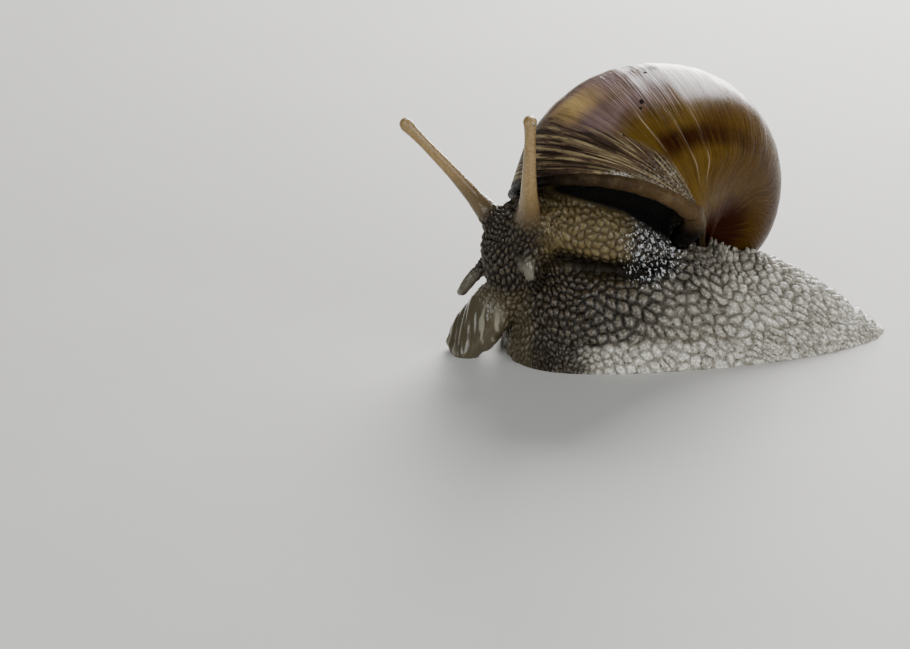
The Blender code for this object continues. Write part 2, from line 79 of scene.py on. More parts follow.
def smooth_path(points: Sequence[Sequence[float]], steps: int) -> Array:
    """Spread rows along a Catmull-Rom curve through the given rows.

    Args:
        points: rows that the curve passes through.
        steps: number of rows wanted.

    Returns:
        Rows at even steps of the curve's own count.
    """
    rows = np.asarray(points, dtype=float)
    padded = np.vstack([2 * rows[0] - rows[1], rows, 2 * rows[-1] - rows[-2]])
    along = np.linspace(0, len(rows) - 1, steps)
    index = np.minimum(along.astype(int), len(rows) - 2)
    share = (along - index)[:, None]
    before, start, end, after = (padded[index + k] for k in range(4))
    return 0.5 * (2 * start + (end - before) * share
                  + (2 * before - 5 * start + 4 * end - after) * share ** 2
                  + (3 * start - before - 3 * end + after) * share ** 3)


# ------------------------------------------------------------------ meshes
@dataclass
class Surface:
    """Points in millimetres and faces as rows of point numbers, with pattern places by corner."""

    points: Array
    faces: list[Array]
    corners: list[Array] = field(default_factory=list)

    def build(self, name: str, scale: float = MM) -> bpy.types.Object:
        """Make the surface an object of the scene.

        Args:
            name: the object's name.
            scale: metres in one unit of the points.

        Returns:
            The object, with a map named "growth" where corners are given.
        """
        mesh = bpy.data.meshes.new(name)
        rows = [row for block in self.faces for row in block.tolist()]
        mesh.from_pydata((self.points * scale).tolist(), [], rows)
        if self.corners:
            places = np.concatenate([block.reshape(-1, 2) for block in self.corners])
            layer = mesh.uv_layers.new(name="growth")
            layer.data.foreach_set("uv", places.astype(np.float32).ravel())
        mesh.validate()
        mesh.update()
        return linked(name, mesh)


def grid_corners(grid: Array) -> Array:
    """Return the four corners of each square of a grid, a row for each square."""
    corners = [grid[:-1, :-1], grid[1:, :-1], grid[1:, 1:], grid[:-1, 1:]]
    return np.stack(corners, axis=2).reshape(-1, 4, *grid.shape[2:])


def linked(name: str, data: bpy.types.ID) -> bpy.types.Object:
    """Put an object of the given data into the scene.

    Args:
        name: the object's name.
        data: its mesh, light or camera.

    Returns:
        The object.
    """
    obj = bpy.data.objects.new(name, data)
    bpy.context.scene.collection.objects.link(obj)
    return obj


def read_points(mesh: bpy.types.Mesh, field_name: str = "co") -> Array:
    """Read numbers kept at a mesh's points.

    Args:
        mesh: the mesh.
        field_name: "co" for places or "normal" for normals.

    Returns:
        A row for each point.
    """
    values = np.empty(len(mesh.vertices) * 3)
    mesh.vertices.foreach_get(field_name, values)
    return values.reshape(-1, 3)


def write_points(mesh: bpy.types.Mesh, points: Array) -> None:
    """Put new places into a mesh's points."""
    mesh.vertices.foreach_set("co", points.ravel())
    mesh.update()


def read_edges(mesh: bpy.types.Mesh) -> Array:
    """Read a mesh's edges.

    Args:
        mesh: the mesh.

    Returns:
        Two point numbers for each edge.
    """
    values = np.empty(len(mesh.edges) * 2, dtype=np.int32)
    mesh.edges.foreach_get("vertices", values)
    return values.reshape(-1, 2)


def renumber(mesh: bpy.types.Mesh) -> None:
    """Number a mesh's points by their places, as a Boolean leaves them in an order of its own.

    That order can change from run to run, and the random draws follow it.

    Args:
        mesh: the mesh, whose points all lie in different places.
    """
    points, edges = read_points(mesh), read_edges(mesh)
    corners = np.empty(len(mesh.loops), dtype=np.int32)
    mesh.loops.foreach_get("vertex_index", corners)
    order = np.lexsort(points.T)
    number = np.argsort(order).astype(np.int32)
    mesh.loops.foreach_set("vertex_index", number[corners])
    mesh.edges.foreach_set("vertices", number[edges].ravel())
    write_points(mesh, points[order])


def skin_rings(rings: Array) -> Surface:
    """Skin closed rings of points, each end closed by a fan about its mean point.

    Args:
        rings: points by ring and by place round the ring.

    Returns:
        A closed surface.
    """
    count, sides = rings.shape[:2]
    here = np.arange(count * sides).reshape(count, sides)
    after = np.roll(here, -1, axis=1)
    quads = np.stack([here[:-1], after[:-1], after[1:], here[1:]], axis=-1).reshape(-1, 4)
    ends = np.stack([rings[0].mean(axis=0), rings[-1].mean(axis=0)])
    first = np.stack([after[0], here[0], np.full(sides, count * sides)], axis=-1)
    last = np.stack([here[-1], after[-1], np.full(sides, count * sides + 1)], axis=-1)
    return Surface(np.vstack([rings.reshape(-1, 3), ends]), [quads, first, last])


def tube(path: Array, sides: int, across: Sequence[float]) -> Surface:
    """Carry an ellipse along a path.

    Each ring stands square to the path. A point of it is the path's place, plus the half width
    times the cosine of its angle sideways, plus the half height times the sine upwards.

    Args:
        path: rows of x, y, z, half width and half height.
        sides: points in a ring.
        across: the direction that the ring's width keeps nearest to.

    Returns:
        The closed tube.
    """
    centre = path[:, :3]
    tangent = np.gradient(centre, axis=0)
    tangent /= np.linalg.norm(tangent, axis=1, keepdims=True)
    side = unit(across) - tangent * (tangent @ unit(across))[:, None]
    side /= np.linalg.norm(side, axis=1, keepdims=True)
    rise = np.cross(tangent, side)
    angle = np.linspace(0, TAU, sides, endpoint=False)[:, None]
    rings = (centre[:, None] + side[:, None] * path[:, None, 3:4] * np.cos(angle)
             + rise[:, None] * path[:, None, 4:5] * np.sin(angle))
    return skin_rings(rings)


def keep_evaluated(obj: bpy.types.Object) -> None:
    """Make an object's evaluated shape its own mesh and drop its modifiers.

    Args:
        obj: the object.
    """
    depsgraph = bpy.context.evaluated_depsgraph_get()
    mesh = bpy.data.meshes.new_from_object(obj.evaluated_get(depsgraph))
    obj.modifiers.clear()
    obj.data = mesh


def voxel_remesh(obj: bpy.types.Object, voxel: float) -> None:
    """Run a closed mesh through an even grid.

    Args:
        obj: the object with the mesh.
        voxel: the grid's step in millimetres.
    """
    remesh = obj.modifiers.new("Remesh", "REMESH")
    remesh.mode = "VOXEL"
    remesh.voxel_size = voxel * MM
    keep_evaluated(obj)


def point_outwards(obj: bpy.types.Object) -> None:
    """Turn every face of a closed mesh outwards.

    Args:
        obj: the object with the mesh.
    """
    work = bmesh.new()
    work.from_mesh(obj.data)
    bmesh.ops.recalc_face_normals(work, faces=work.faces)
    work.to_mesh(obj.data)
    work.free()


def relax(points: Array, edges: Array, share: Array, rounds: int,
          pulls: tuple[float, ...] = (0.6, -0.62)) -> Array:
    """Even out a surface, as a rule without shrinking it.

    In each round a point moves a share of the way to its neighbours' mean, and then a little
    further back the other way, so bumps go and the girth stays.

    Args:
        points: places of the points.
        edges: neighbouring pairs.
        share: how far each point moves, a column.
        rounds: number of rounds.
        pulls: the moves of a round.

    Returns:
        The new places.
    """
    count = len(points)
    near, far = np.concatenate([edges, edges[:, ::-1]]).T
    neighbours = np.maximum(np.bincount(near, minlength=count), 1)
    for pull in pulls * rounds:
        mean = np.stack([np.bincount(near, points[far, axis], count)
                         for axis in range(3)], axis=1)
        points = points + pull * share * (mean / neighbours[:, None] - points)
    return points


# ------------------------------------------------------------------ shader maths
@dataclass(frozen=True)
class Stripe:
    """A soft band of values: its middle, and how far from that it ends and is at its fullest."""

    middle: float
    outer: float
    inner: float


class Value:
    """A number socket of a shader, which arithmetic turns into Math nodes."""

    def __init__(self, shader: "Shader", socket: bpy.types.NodeSocket) -> None:
        """Wrap a socket of the given shader."""
        self.shader = shader
        self.socket = socket

    def math(self, operation: str, *others: Any) -> "Value":
        """Add a Math node that starts with this value."""
        return self.shader.math(operation, self, *others)

    def __add__(self, other: Any) -> "Value":
        """Return the sum."""
        return self.math("ADD", other)

    def __sub__(self, other: Any) -> "Value":
        """Return the difference."""
        return self.math("SUBTRACT", other)

    def __rsub__(self, other: Any) -> "Value":
        """Return the other value less this one."""
        return self.shader.math("SUBTRACT", other, self)

    def __mul__(self, other: Any) -> "Value":
        """Return the product."""
        return self.math("MULTIPLY", other)

    def __pow__(self, other: Any) -> "Value":
        """Return the power."""
        return self.math("POWER", other)

    __radd__ = __add__
    __rmul__ = __mul__

    def rise(self, low: float, high: float) -> "Value":
        """Turn values into shares with a smooth step.

        Args:
            low: the value that gives 0.
            high: the value that gives 1, which may be the smaller one.

        Returns:
            The shares.
        """
        if low > high:
            return 1 - self.rise(high, low)
        settings = {"interpolation_type": "SMOOTHSTEP"}
        inputs = {"Value": self, "From Min": low, "From Max": high}
        node = self.shader.node("ShaderNodeMapRange", settings, inputs)
        return Value(self.shader, node.outputs[0])

    def within(self, stripe: Stripe) -> "Value":
        """Return 1 along the middle of a stripe, falling smoothly to 0 at its edges."""
        return (self - stripe.middle).math("ABSOLUTE").rise(stripe.outer, stripe.inner)

    def stronger(self, strength: Pair) -> "Value":
        """Return a strength that rises with this share of a zone."""
        return strength[0] + self * strength[1]


class Shader:
    """Builds one material's nodes."""

    def __init__(self, name: str) -> None:
        """Start a material with nothing but its output.

        Args:
            name: the material's name.
        """
        self.material = bpy.data.materials.new(name)
        self.material.use_nodes = True
        self.tree = self.material.node_tree
        self.tree.nodes.clear()
        self.output = self.tree.nodes.new("ShaderNodeOutputMaterial")

    def node(self, kind: str, settings: dict[str, Any], inputs: dict[Any, Any]) -> bpy.types.Node:
        """Add a node.

        Args:
            kind: the node's type.
            settings: its properties, set first.
            inputs: values or links by socket name or number.

        Returns:
            The node.
        """
        node = self.tree.nodes.new(kind)
        for key, setting in settings.items():
            setattr(node, key, setting)
        for key, given in inputs.items():
            given = given.socket if isinstance(given, Value) else given
            if isinstance(given, bpy.types.NodeSocket):
                self.tree.links.new(given, node.inputs[key])
            else:
                node.inputs[key].default_value = given
        return node

    def math(self, operation: str, *values: Any) -> Value:
        """Add a Math node of values or numbers."""
        node = self.node("ShaderNodeMath", {"operation": operation}, dict(enumerate(values)))
        return Value(self, node.outputs[0])

    def attribute(self, name: str) -> Value:
        """Read a number kept at the mesh's points."""
        node = self.node("ShaderNodeAttribute", {"attribute_name": name}, {})
        return Value(self, node.outputs["Fac"])

    def place(self) -> bpy.types.NodeSocket:
        """Return the Object coordinates."""
        return self.node("ShaderNodeTexCoord", {}, {}).outputs["Object"]

    def parts(self, vector: bpy.types.NodeSocket) -> list[Value]:
        """Return a vector's three numbers."""
        node = self.node("ShaderNodeSeparateXYZ", {}, {0: vector})
        return [Value(self, output) for output in node.outputs]

    def joined(self, *numbers: Any) -> bpy.types.NodeSocket:
        """Return a vector of up to three numbers."""
        return self.node("ShaderNodeCombineXYZ", {}, dict(enumerate(numbers))).outputs[0]

    def noise(self, vector: bpy.types.NodeSocket, scale: float, detail: float = 2.0) -> Value:
        """Return cloudy noise, about 0.3 to 0.7, at a vector, whose detail is its octaves."""
        inputs = {"Vector": vector, "Scale": scale, "Detail": detail}
        return Value(self, self.node("ShaderNodeTexNoise", {}, inputs).outputs["Fac"])

    def knobs(self, vector: bpy.types.NodeSocket, scale: float) -> Value:
        """Measure how far places lie from the middles of random cells.

        Args:
            vector: where to read it.
            scale: how small the cells are.

        Returns:
            The distance, about 0 to 0.8.
        """
        inputs = {"Vector": vector, "Scale": scale}
        node = self.node("ShaderNodeTexVoronoi", {"feature": "F1"}, inputs)
        return Value(self, node.outputs["Distance"])

    def blend(self, share: Any, low: Any, high: Any) -> bpy.types.NodeSocket:
        """Mix two colours.

        Args:
            share: how much of the second colour shows.
            low: the first colour, or a socket.
            high: the second one.

        Returns:
            The mixed colour.
        """
        low, high = ((*given, 1.0) if isinstance(given, tuple) else given for given in (low, high))
        node = self.node("ShaderNodeMix", {"data_type": "RGBA"}, {0: share, 6: low, 7: high})
        return node.outputs[2]

    def layered(self, colour: Any, *layers: tuple[Any, Any]) -> bpy.types.NodeSocket:
        """Lay tints over a colour one after another.

        Args:
            colour: the colour underneath.
            layers: each layer's share and tint.

        Returns:
            The colour on top.
        """
        for share, tint in layers:
            colour = self.blend(share, colour, tint)
        return colour

    def bump(self, height: Value, depth: float) -> bpy.types.NodeSocket:
        """Return normals bumped by a height of about 0 to 1, 1 standing for a depth in metres."""
        inputs = {"Height": height, "Distance": depth, "Strength": 1.0}
        return self.node("ShaderNodeBump", {}, inputs).outputs[0]

    def finish(self, inputs: dict[str, Any]) -> bpy.types.Material:
        """End with a Principled shader.

        Args:
            inputs: values or links by socket name.

        Returns:
            The material.
        """
        shader = self.node("ShaderNodeBsdfPrincipled", {}, inputs)
        self.tree.links.new(shader.outputs[0], self.output.inputs["Surface"])
        return self.material


# ------------------------------------------------------------------ shell form
@dataclass(frozen=True)
class Hump:
    """A smooth hump: its height times the bell curve of the distance from its middle."""

    height: float
    middle: float
    spread: float

    def over(self, values: Array) -> Array:
        """Return how high the hump is at each value."""
        return self.height * np.exp(-((values - self.middle) / self.spread) ** 2)


@dataclass(frozen=True)
class ShellForm:
    """The shell's spiral: lengths are shares of the radius unless said otherwise."""

    radius: float = 26.7                     # mm, axis to the widest line of the last whorl
    apex: Place = (-1.1, 29.9, 24.7)
    axis_turn: float = math.radians(-14.3)
    axis_rise: float = math.radians(11.2)
    mouth_roll: float = math.radians(22.3)
    whorl_growth: float = 2.08
    whorls: int = 4
    half_width: float = 0.50
    drop: float = 0.96
    half_up: float = 0.54
    half_down: float = 0.68
    base_end: float = math.radians(-150)
    base_dish: float = 0.35
    base_bend: float = 1.4
    swells: tuple[Hump, ...] = (Hump(0.20, -0.46, 0.8), Hump(0.17, -3.4, 0.7))
    plug: float = 0.88                       # how far the hollow round the axis is filled
    plug_front: Ramp = (-0.95, -1.5)
    plug_back: Ramp = (-5.6, -4.6)
    fan: float = 0.75                        # radians from the lip over which growth lines fan out
    least_fan: float = 0.03
    bend: float = 0.27                       # how far growth lines bend forward near the axis
    bend_angles: Ramp = (math.radians(-62), math.radians(-92))
    bend_start: float = -1.1
    lip_slant: float = math.radians(37.5)
    lip_softening: float = 0.35
    lip_start: float = -1.1
    mouth_middle: tuple[float, float] = (0.62, -1.25)
    mouth_depth: float = 0.12
    recess_start: float = 0.05
    recess_full: float = 0.35
    highest_seam: float = 2.2
    halvings: int = 40
    seam_guess: float = 0.4
    seam_rounds: int = 60

    def growth(self, spiral: Array) -> Array:
        """Return the whorl's size at a spiral angle: the growth to the power of the turns."""
        return np.exp(math.log(self.whorl_growth) * spiral / TAU)

    def section(self, spiral: Array, angle: Array) -> tuple[Array, Array]:
        """Find the outer surface's distance from the axis and its height.

        The section is a half ellipse on each side of its widest line: the distance is the middle
        plus the half width times the cosine, and the height is the half height times the sine.
        Past its lowest line it runs in to the axis as a shallow dish, filled except at the lip.

        Args:
            spiral: angle round the axis, 0 at the lip.
            angle: angle round the section, 0 at the widest line.

        Returns:
            The distance and the height, as shares.
        """
        swell = np.ones_like(spiral)
        for hump in self.swells:
            swell = swell + hump.over(spiral)
        filled = self.plug * step(*self.plug_front, spiral) * step(*self.plug_back, spiral)
        dish = self.base_dish * (1 - filled)
        middle = 1 - self.half_width
        inward = np.clip((-math.pi / 2 - angle) / (-math.pi / 2 - self.base_end), 0, 1)
        base = angle < -math.pi / 2
        away = np.where(base, middle * (1 - inward ** self.base_bend),
                        middle + self.half_width * swell * np.cos(angle))
        rise = np.where(base, dish * inward ** 2 - 1, np.sin(angle))
        half_height = np.where(angle > 0, self.half_up, self.half_down) * swell
        return self.growth(spiral) * away, self.growth(spiral) * (half_height * rise - self.drop)

    def lip_spiral(self, angle: Array) -> Array:
        """Find where the slanted lip runs.

        Args:
            angle: section angles.

        Returns:
            The spiral angles there.
        """
        across = 1 - self.half_width + self.half_width * np.cos(angle)
        rise = np.where(angle > 0, self.half_up, self.half_down) * np.sin(angle)
        return np.arctan2(math.tan(self.lip_slant) * rise, np.hypot(across, self.lip_softening))

    def age(self, spiral: Array, angle: Array) -> Array:
        """Measure how far back the shell grew, in radians, 0 at the lip.

        Growth lines fan out from the lip's end at the axis: as far as the fan goes, the measure is
        the share of the way from the lip. Behind it, it is the spiral angle itself, and the lines
        bend forward near the axis.

        Args:
            spiral: spiral angles, which fall with the distance back.
            angle: section angles.

        Returns:
            The measure.
        """
        lip = self.lip_spiral(angle)
        fanned = self.fan * (lip - spiral) / np.maximum(lip + self.fan, self.least_fan)
        bend = self.bend * step(*self.bend_angles, angle) * step(-self.fan, self.bend_start, spiral)
        return np.where(spiral > -self.fan, fanned, bend - spiral)

    def seam_angles(self, spiral: Array) -> tuple[Array, Array]:
        """Find where a whorl meets the one before it, by halving.

        Args:
            spiral: angles round the axis.

        Returns:
            The section angles of the meeting point, on the whorl itself and on the one before.
        """
        before = self.growth(spiral - TAU)
        low, high = np.zeros_like(spiral), np.full_like(spiral, self.highest_seam)
        for _ in range(self.halvings):
            angle = (low + high) / 2
            away, height = self.section(spiral, angle)
            across = (away - (1 - self.half_width) * before) / (self.half_width * before)
            rise = height + self.drop * before
            up = rise / (np.where(rise > 0, self.half_up, self.half_down) * before)
            outside = np.hypot(across, up) > 1
            low, high = np.where(outside, angle, low), np.where(outside, high, angle)
        return angle, np.arctan2(up, across)

    def lip_seam(self) -> float:
        """Find where the lip meets the whorl before it.

        Returns:
            The spiral angle.
        """
        spiral = np.array([self.seam_guess])
        for _ in range(self.seam_rounds):
            spiral = self.lip_spiral(self.seam_angles(spiral)[0])
        return float(spiral[0])

    def axes(self) -> Array:
        """Work out the shell's own axes.

        Returns:
            Columns that point to the lip, back from the mouth, and to the apex.
        """
        turn, rise, roll = self.axis_turn, self.axis_rise, self.mouth_roll
        apex = np.array([math.sin(turn) * math.cos(rise), math.cos(turn) * math.cos(rise),
                         math.sin(rise)])
        forward = np.array([-1.0, 0.0, 0.0])
        forward = unit(forward - apex * (forward @ apex))
        lip = forward * math.cos(roll) + np.cross(apex, forward) * math.sin(roll)
        return np.stack([lip, np.cross(apex, lip), apex], axis=1)

    @staticmethod
    def spun(away: Array, spiral: Array, height: Array) -> Array:
        """Return points in the shell's own axes from distance, spiral angle and height."""
        numbers = (away * np.cos(spiral), -away * np.sin(spiral), height)
        return np.stack(np.broadcast_arrays(*numbers), axis=-1)

    def placed(self, points: Array) -> Array:
        """Return points in millimetres from points in the shell's own axes."""
        return self.radius * points @ self.axes().T + np.array(self.apex)

    def mouth_ring(self, loop: Array, share: float, depth: float) -> Array:
        """Draw the mouth's outline in towards its middle and wind it back into the shell.

        Args:
            loop: points of the outline in the shell's own axes.
            share: size of the ring against the outline.
            depth: how far back it lies, 1 at the recess's floor.

        Returns:
            The ring's points in the shell's own axes.
        """
        middle = np.array([self.mouth_middle[0], loop[:, 1].mean(), self.mouth_middle[1]])
        ring = middle + share * (loop - middle)
        away, spiral = np.hypot(ring[:, 0], ring[:, 1]), np.arctan2(-ring[:, 1], ring[:, 0])
        recess = np.clip((away - self.recess_start) / (self.recess_full - self.recess_start), 0, 1)
        back = (depth * self.mouth_depth * recess ** 2 * (3 - 2 * recess)
                / np.maximum(away, self.recess_start))
        size = self.growth(-back)
        return self.spun(away * size, spiral - back, ring[:, 2] * size)


@dataclass
class ShellMesh:
    """The shell's surface: columns up each whorl, closed at the apex and in the mouth.

    The seam is the spiral angle where the lip meets the whorl before it, and the split is the
    section angle of that place. A turn is the count of columns in a whorl, and last is the number
    of the first column that turns into the slanted lip.
    """

    form: ShellForm
    seam: float = field(init=False)
    split: float = field(init=False)
    turn: int = field(init=False)
    last: int = field(init=False)
    lip_columns: int = 90
    turn_columns: int = 150
    upper_rows: int = 30
    lower_rows: int = 44
    lip_round: float = 0.035                 # half the lip's thickness, as a share of the mouth
    lip_bulge: float = 0.15                  # how far the lip's edge stands proud, in recess depths
    ripple: float = 0.0016                   # depth of the growth ripples
    ripple_waves: Places = ((0.7, 53, 1.0), (0.9, 17, 2.0))
    ripple_fade: float = 2.5
    rim_rings: int = 10
    wall_rings: int = 7
    floor_rings: int = 10
    curl_marks: tuple[float, ...] = (-98, -88, -75, -60, -45, -30, -15, 0, 20, 40)
    roll_steps: int = 260
    roll_sides: int = 28
    roll_inset: float = 0.75                 # how far the roll lies inside the edge, in its radii
    roll_ends: float = 6.0                   # steps over which its ends close
    roll_waves: Places = ((0.035, 1.7, 0.0), (0.02, 4.3, 1.0))
    loop_steps: int = 30
    roll_radius: Pairs = (
        (-98.0, 1.55), (-75.0, 1.35), (-45.0, 1.15), (0.0, 0.85), (30.0, 0.5), (80.0, 0.35))
    roll_curl: tuple[tuple[float, float, float, float], ...] = (
        (1.8, 1.5, 16.6, 1.0), (2.6, -3.4, 18.2, 1.4), (3.5, -7.0, 20.2, 1.6),
        (4.2, -9.2, 21.9, 1.65), (4.5, -11.2, 23.6, 1.65))

    def columns(self) -> tuple[Array, Array, Array]:
        """Lay out the columns.

        Returns:
            The spiral angle of each column, and the lowest and highest section angle it shows.
        """
        form = self.form
        self.seam = form.lip_seam()
        self.split = float(form.seam_angles(np.array([self.seam]))[1][0])
        lip_part = np.linspace(form.lip_start, self.seam, self.lip_columns)
        turn_part = np.linspace(self.seam, form.lip_start + TAU, self.turn_columns)[1:-1]
        turn = np.concatenate([lip_part, turn_part])
        self.turn = len(turn)
        self.last = form.whorls * self.turn
        turns = [turn + (count - form.whorls) * TAU for count in range(form.whorls)]
        spiral = np.concatenate(turns + [lip_part])
        low = form.seam_angles(spiral + TAU)[1]
        low[self.last - self.turn + self.lip_columns:] = self.split
        return spiral, low, form.seam_angles(spiral)[0]

    def outer(self, spiral: Array, angle: Array) -> tuple[Array, Array]:
        """Find points and pattern places of the outer surface.

        The last columns turn gradually from the plain spiral into the slanted lip. Ripples along
        the growth lines are a sum of sines of the distance from the lip.

        Args:
            spiral: the columns' spiral angles.
            angle: section angles by column and row.

        Returns:
            Points in the shell's own axes, and distance from the lip with the section angle.
        """
        form = self.form
        count = len(spiral)
        late = np.arange(count) >= count - self.lip_columns
        share = np.where(late, (spiral - form.lip_start) / (self.seam - form.lip_start), 0)[:, None]
        lip = form.lip_spiral(angle)
        slanted = form.lip_start + (lip - form.lip_start) * share
        turned = np.where(late[:, None], slanted, spiral[:, None])
        age = form.age(turned, angle)
        fade = 0.35 + np.exp(-age / self.ripple_fade)
        fade = fade * step(0.0, 0.05, lip - turned) * step(-1.15, -0.6, angle)
        ripple = np.sin(age * 31 + 0.8 * np.sin(age * 9))
        for depth, waves, start in self.ripple_waves:
            ripple = ripple + depth * np.sin(age * waves + start)
        ripple = ripple * self.ripple * fade
        away, height = form.section(turned, angle)
        return form.spun(away * (1 + ripple), turned, height), np.stack([age, angle], axis=-1)

    @staticmethod
    def strips(index: Array, places: Array) -> tuple[list[Array], list[Array]]:
        """Join neighbouring columns with faces.

        Args:
            index: point numbers by column and row.
            places: pattern places by column and row.

        Returns:
            Blocks of faces and of their corners' pattern places, four-sided ones first.
        """
        faces, corners = grid_corners(index), grid_corners(places)
        pointed = faces[:, 2] == faces[:, 3]
        return ([faces[~pointed], faces[pointed][:, :3]],
                [corners[~pointed], corners[pointed][:, :3]])

    def surface(self) -> Surface:
        """Make the whole closed surface.

        Returns:
            The surface in millimetres, over the origin.
        """
        form = self.form
        spiral, low, high = self.columns()
        rows = np.linspace(0, 1, self.upper_rows + 1)
        angle = low[:, None] + (high - low)[:, None] * rows
        points, places = self.outer(spiral, angle)
        count = len(spiral)
        index = np.arange(count * self.upper_rows).reshape(count, self.upper_rows)
        apex = index.size
        tops = np.concatenate([np.full(self.turn, apex), index[:count - self.turn, 0]])
        upper = np.column_stack([index, tops])
        start = self.last - self.turn + self.lip_columns - 1
        down = np.linspace(form.base_end, self.split, self.lower_rows + 1)
        base_points, base_places = self.outer(spiral[start:], np.tile(down, (count - start, 1)))
        base_index = np.arange((count - start) * self.lower_rows).reshape(-1, self.lower_rows)
        lower = np.column_stack([apex + 1 + base_index, upper[start:, 0]])
        first = np.array(form.lip_start - form.whorls * TAU)
        crown = np.array([[0.0, 0.0, -form.half_down * form.growth(first)]])
        body = np.vstack([points[:, :-1].reshape(-1, 3), crown,
                          base_points[:, :-1].reshape(-1, 3)])
        faces, corners = [], []
        for grid, place in ((upper, places), (lower, base_places)):
            blocks = self.strips(grid, place)
            faces += blocks[0]
            corners += blocks[1]
        top = np.full(self.upper_rows - 1, apex)
        faces.append(np.stack([top, index[0, 1:], index[0, :-1]], axis=-1))
        corners.append(np.tile(places[0, 0], (len(top), 3, 1)))
        loop = np.concatenate([lower[-1, :-1], upper[-1, :-1], [upper[start, 0]],
                               lower[0, -2::-1], lower[1:-1, 0]])
        return self.with_mouth(body, faces, corners, loop)

    def with_mouth(self, body: Array, faces: list[Array], corners: list[Array],
                   loop: Array) -> Surface:
        """Add the rounded lip, the wall behind it and the floor of the recess.

        The pattern place of the mouth is a distance below 0: minus 0.1 at the lip's edge, minus 1
        at the floor.

        Args:
            body: points so far, in the shell's own axes.
            faces: faces so far.
            corners: their corners' pattern places.
            loop: point numbers round the mouth.

        Returns:
            The closed surface in millimetres.
        """
        turn = np.linspace(0, math.pi, self.rim_rings + 1)[1:]
        inset = 2 * self.lip_round
        rims = [(1 - inset * (1 - math.cos(t)) / 2, -self.lip_bulge * math.sin(t),
                 -0.1 * t / math.pi) for t in turn]
        rims += [(1 - inset - 0.05 * s, s, -0.1 - 0.9 * s)
                 for s in np.linspace(0, 1, self.wall_rings + 1)[1:]]
        rims += [((0.95 - inset) * (1 - s), 1.0, -1.0)
                 for s in np.linspace(0, 1, self.floor_rings + 2)[1:-1]]
        outline = body[loop]
        ring, marks = loop, np.zeros(len(loop))
        blocks = [body]
        first = len(body)
        for share, depth, mark in rims:
            blocks.append(self.form.mouth_ring(outline, share, depth))
            after = np.arange(first, first + len(loop))
            first += len(loop)
            grid = np.stack([np.append(ring, ring[0]), np.append(after, after[0])])
            place = np.stack([np.tile(marks[0], len(loop) + 1), np.tile(mark, len(loop) + 1)])
            places = np.stack([place, np.zeros_like(place)], axis=-1)
            new_faces, new_corners = self.strips(grid, places)
            faces += new_faces
            corners += new_corners
            ring, marks = after, np.full(len(loop), mark)
        middle = self.form.mouth_ring(outline, 0.0, 1.0)[:1]
        faces.append(np.stack([ring, np.roll(ring, -1), np.full(len(ring), first)], axis=-1))
        corners.append(np.tile([-1.0, 0.0], (len(ring), 3, 1)))
        points = self.form.placed(np.vstack(blocks + [middle])) - PLAN_CENTRE
        return Surface(points, faces, corners)

    def roll(self) -> Surface:
        """Make the rolled lip: a tube under the shell's edge that curls in at the axis.

        Its path is the edge, drawn in towards the mouth's middle by most of the tube's radius,
        and the rows of the curl come before it.

        Returns:
            The closed tube in millimetres, in the animal's own plan.
        """
        form = self.form
        high = self.columns()[2][-1]
        angle = np.concatenate([np.radians(self.curl_marks), [0.8 * high, high]])
        away, height = form.section(form.lip_spiral(angle), angle)
        edge = form.placed(form.spun(away, form.lip_spiral(angle), height))
        radius = np.interp(np.degrees(angle), *np.transpose(self.roll_radius))[:, None]
        inward = edge.mean(axis=0) - edge
        inward /= np.linalg.norm(inward, axis=1, keepdims=True)
        inset = edge + inward * radius * self.roll_inset
        path = smooth_path(np.vstack([self.roll_curl, np.hstack([inset, radius])]), self.roll_steps)
        ends = np.clip(np.arange(len(path)) / self.roll_ends, 0, 1)
        ends = ends * ends[::-1]
        width = path[:, 3:] * np.sqrt(1 - (1 - ends[:, None]) ** 2 * 0.96)
        along = np.linspace(0, 60, len(path))[:, None]
        waves = 1
        for height, count, start in self.roll_waves:
            waves = waves + height * np.sin(along * count + start)
        width = width * waves
        return tube(np.hstack([path[:, :3], width, width]), self.roll_sides, form.axes()[:, 2])

    def mouth_loop(self) -> Array:
        """Draw the mouth's outline, for the flesh that fills it.

        Returns:
            The outline's points in the shell's own axes.
        """
        form, steps = self.form, self.loop_steps
        high = self.columns()[2]
        lip_angle = np.concatenate([np.linspace(form.base_end, self.split, steps)[:-1],
                                    np.linspace(self.split, high[-1], steps)])
        away, height = form.section(form.lip_spiral(lip_angle), lip_angle)
        lip = form.spun(away, form.lip_spiral(lip_angle), height)
        wall_angle = np.linspace(self.split, form.base_end, steps)
        away, height = form.section(np.full(steps, self.seam - TAU), wall_angle)
        wall = form.spun(away, self.seam - TAU, height)
        return np.vstack([lip, wall])


@dataclass(frozen=True)
class Pit:
    """A small dark pit: how far back it lies, its section angle and its radius, in radians."""

    back: float
    angle: float
    radius: float

    def spot(self, back: Value, angle: Value, ragged: Value) -> Value:
        """Return 1 in the pit, whose distance is a root of squares and gains a ragged part."""
        away = ((back - self.back) ** 2.0 + ((angle - self.angle) * 0.55) ** 2.0) ** 0.5
        return (away + ragged).rise(self.radius * 1.1, self.radius * 0.7)


@dataclass(frozen=True)
class LineSet:
    """A set of growth lines from stretched noise: pale where it's high, dark where it's low."""

    count: float                             # to a radian of growth
    along: float                             # how fast they change along their length
    sway: float
    pale: Ramp
    pale_strength: Pair
    relief: Pair
    dark: Ramp = (0.0, -1.0)
    dark_strength: Pair = (0.0, 0.0)

    def pattern(self, sh: Shader, back: Value, angle: Value, wave: Value) -> Value:
        """Return the set's noise on the growth map, bent by a wave."""
        stretched = sh.joined(back * self.count, angle * self.along, wave * self.sway)
        return sh.noise(stretched, 1.0)


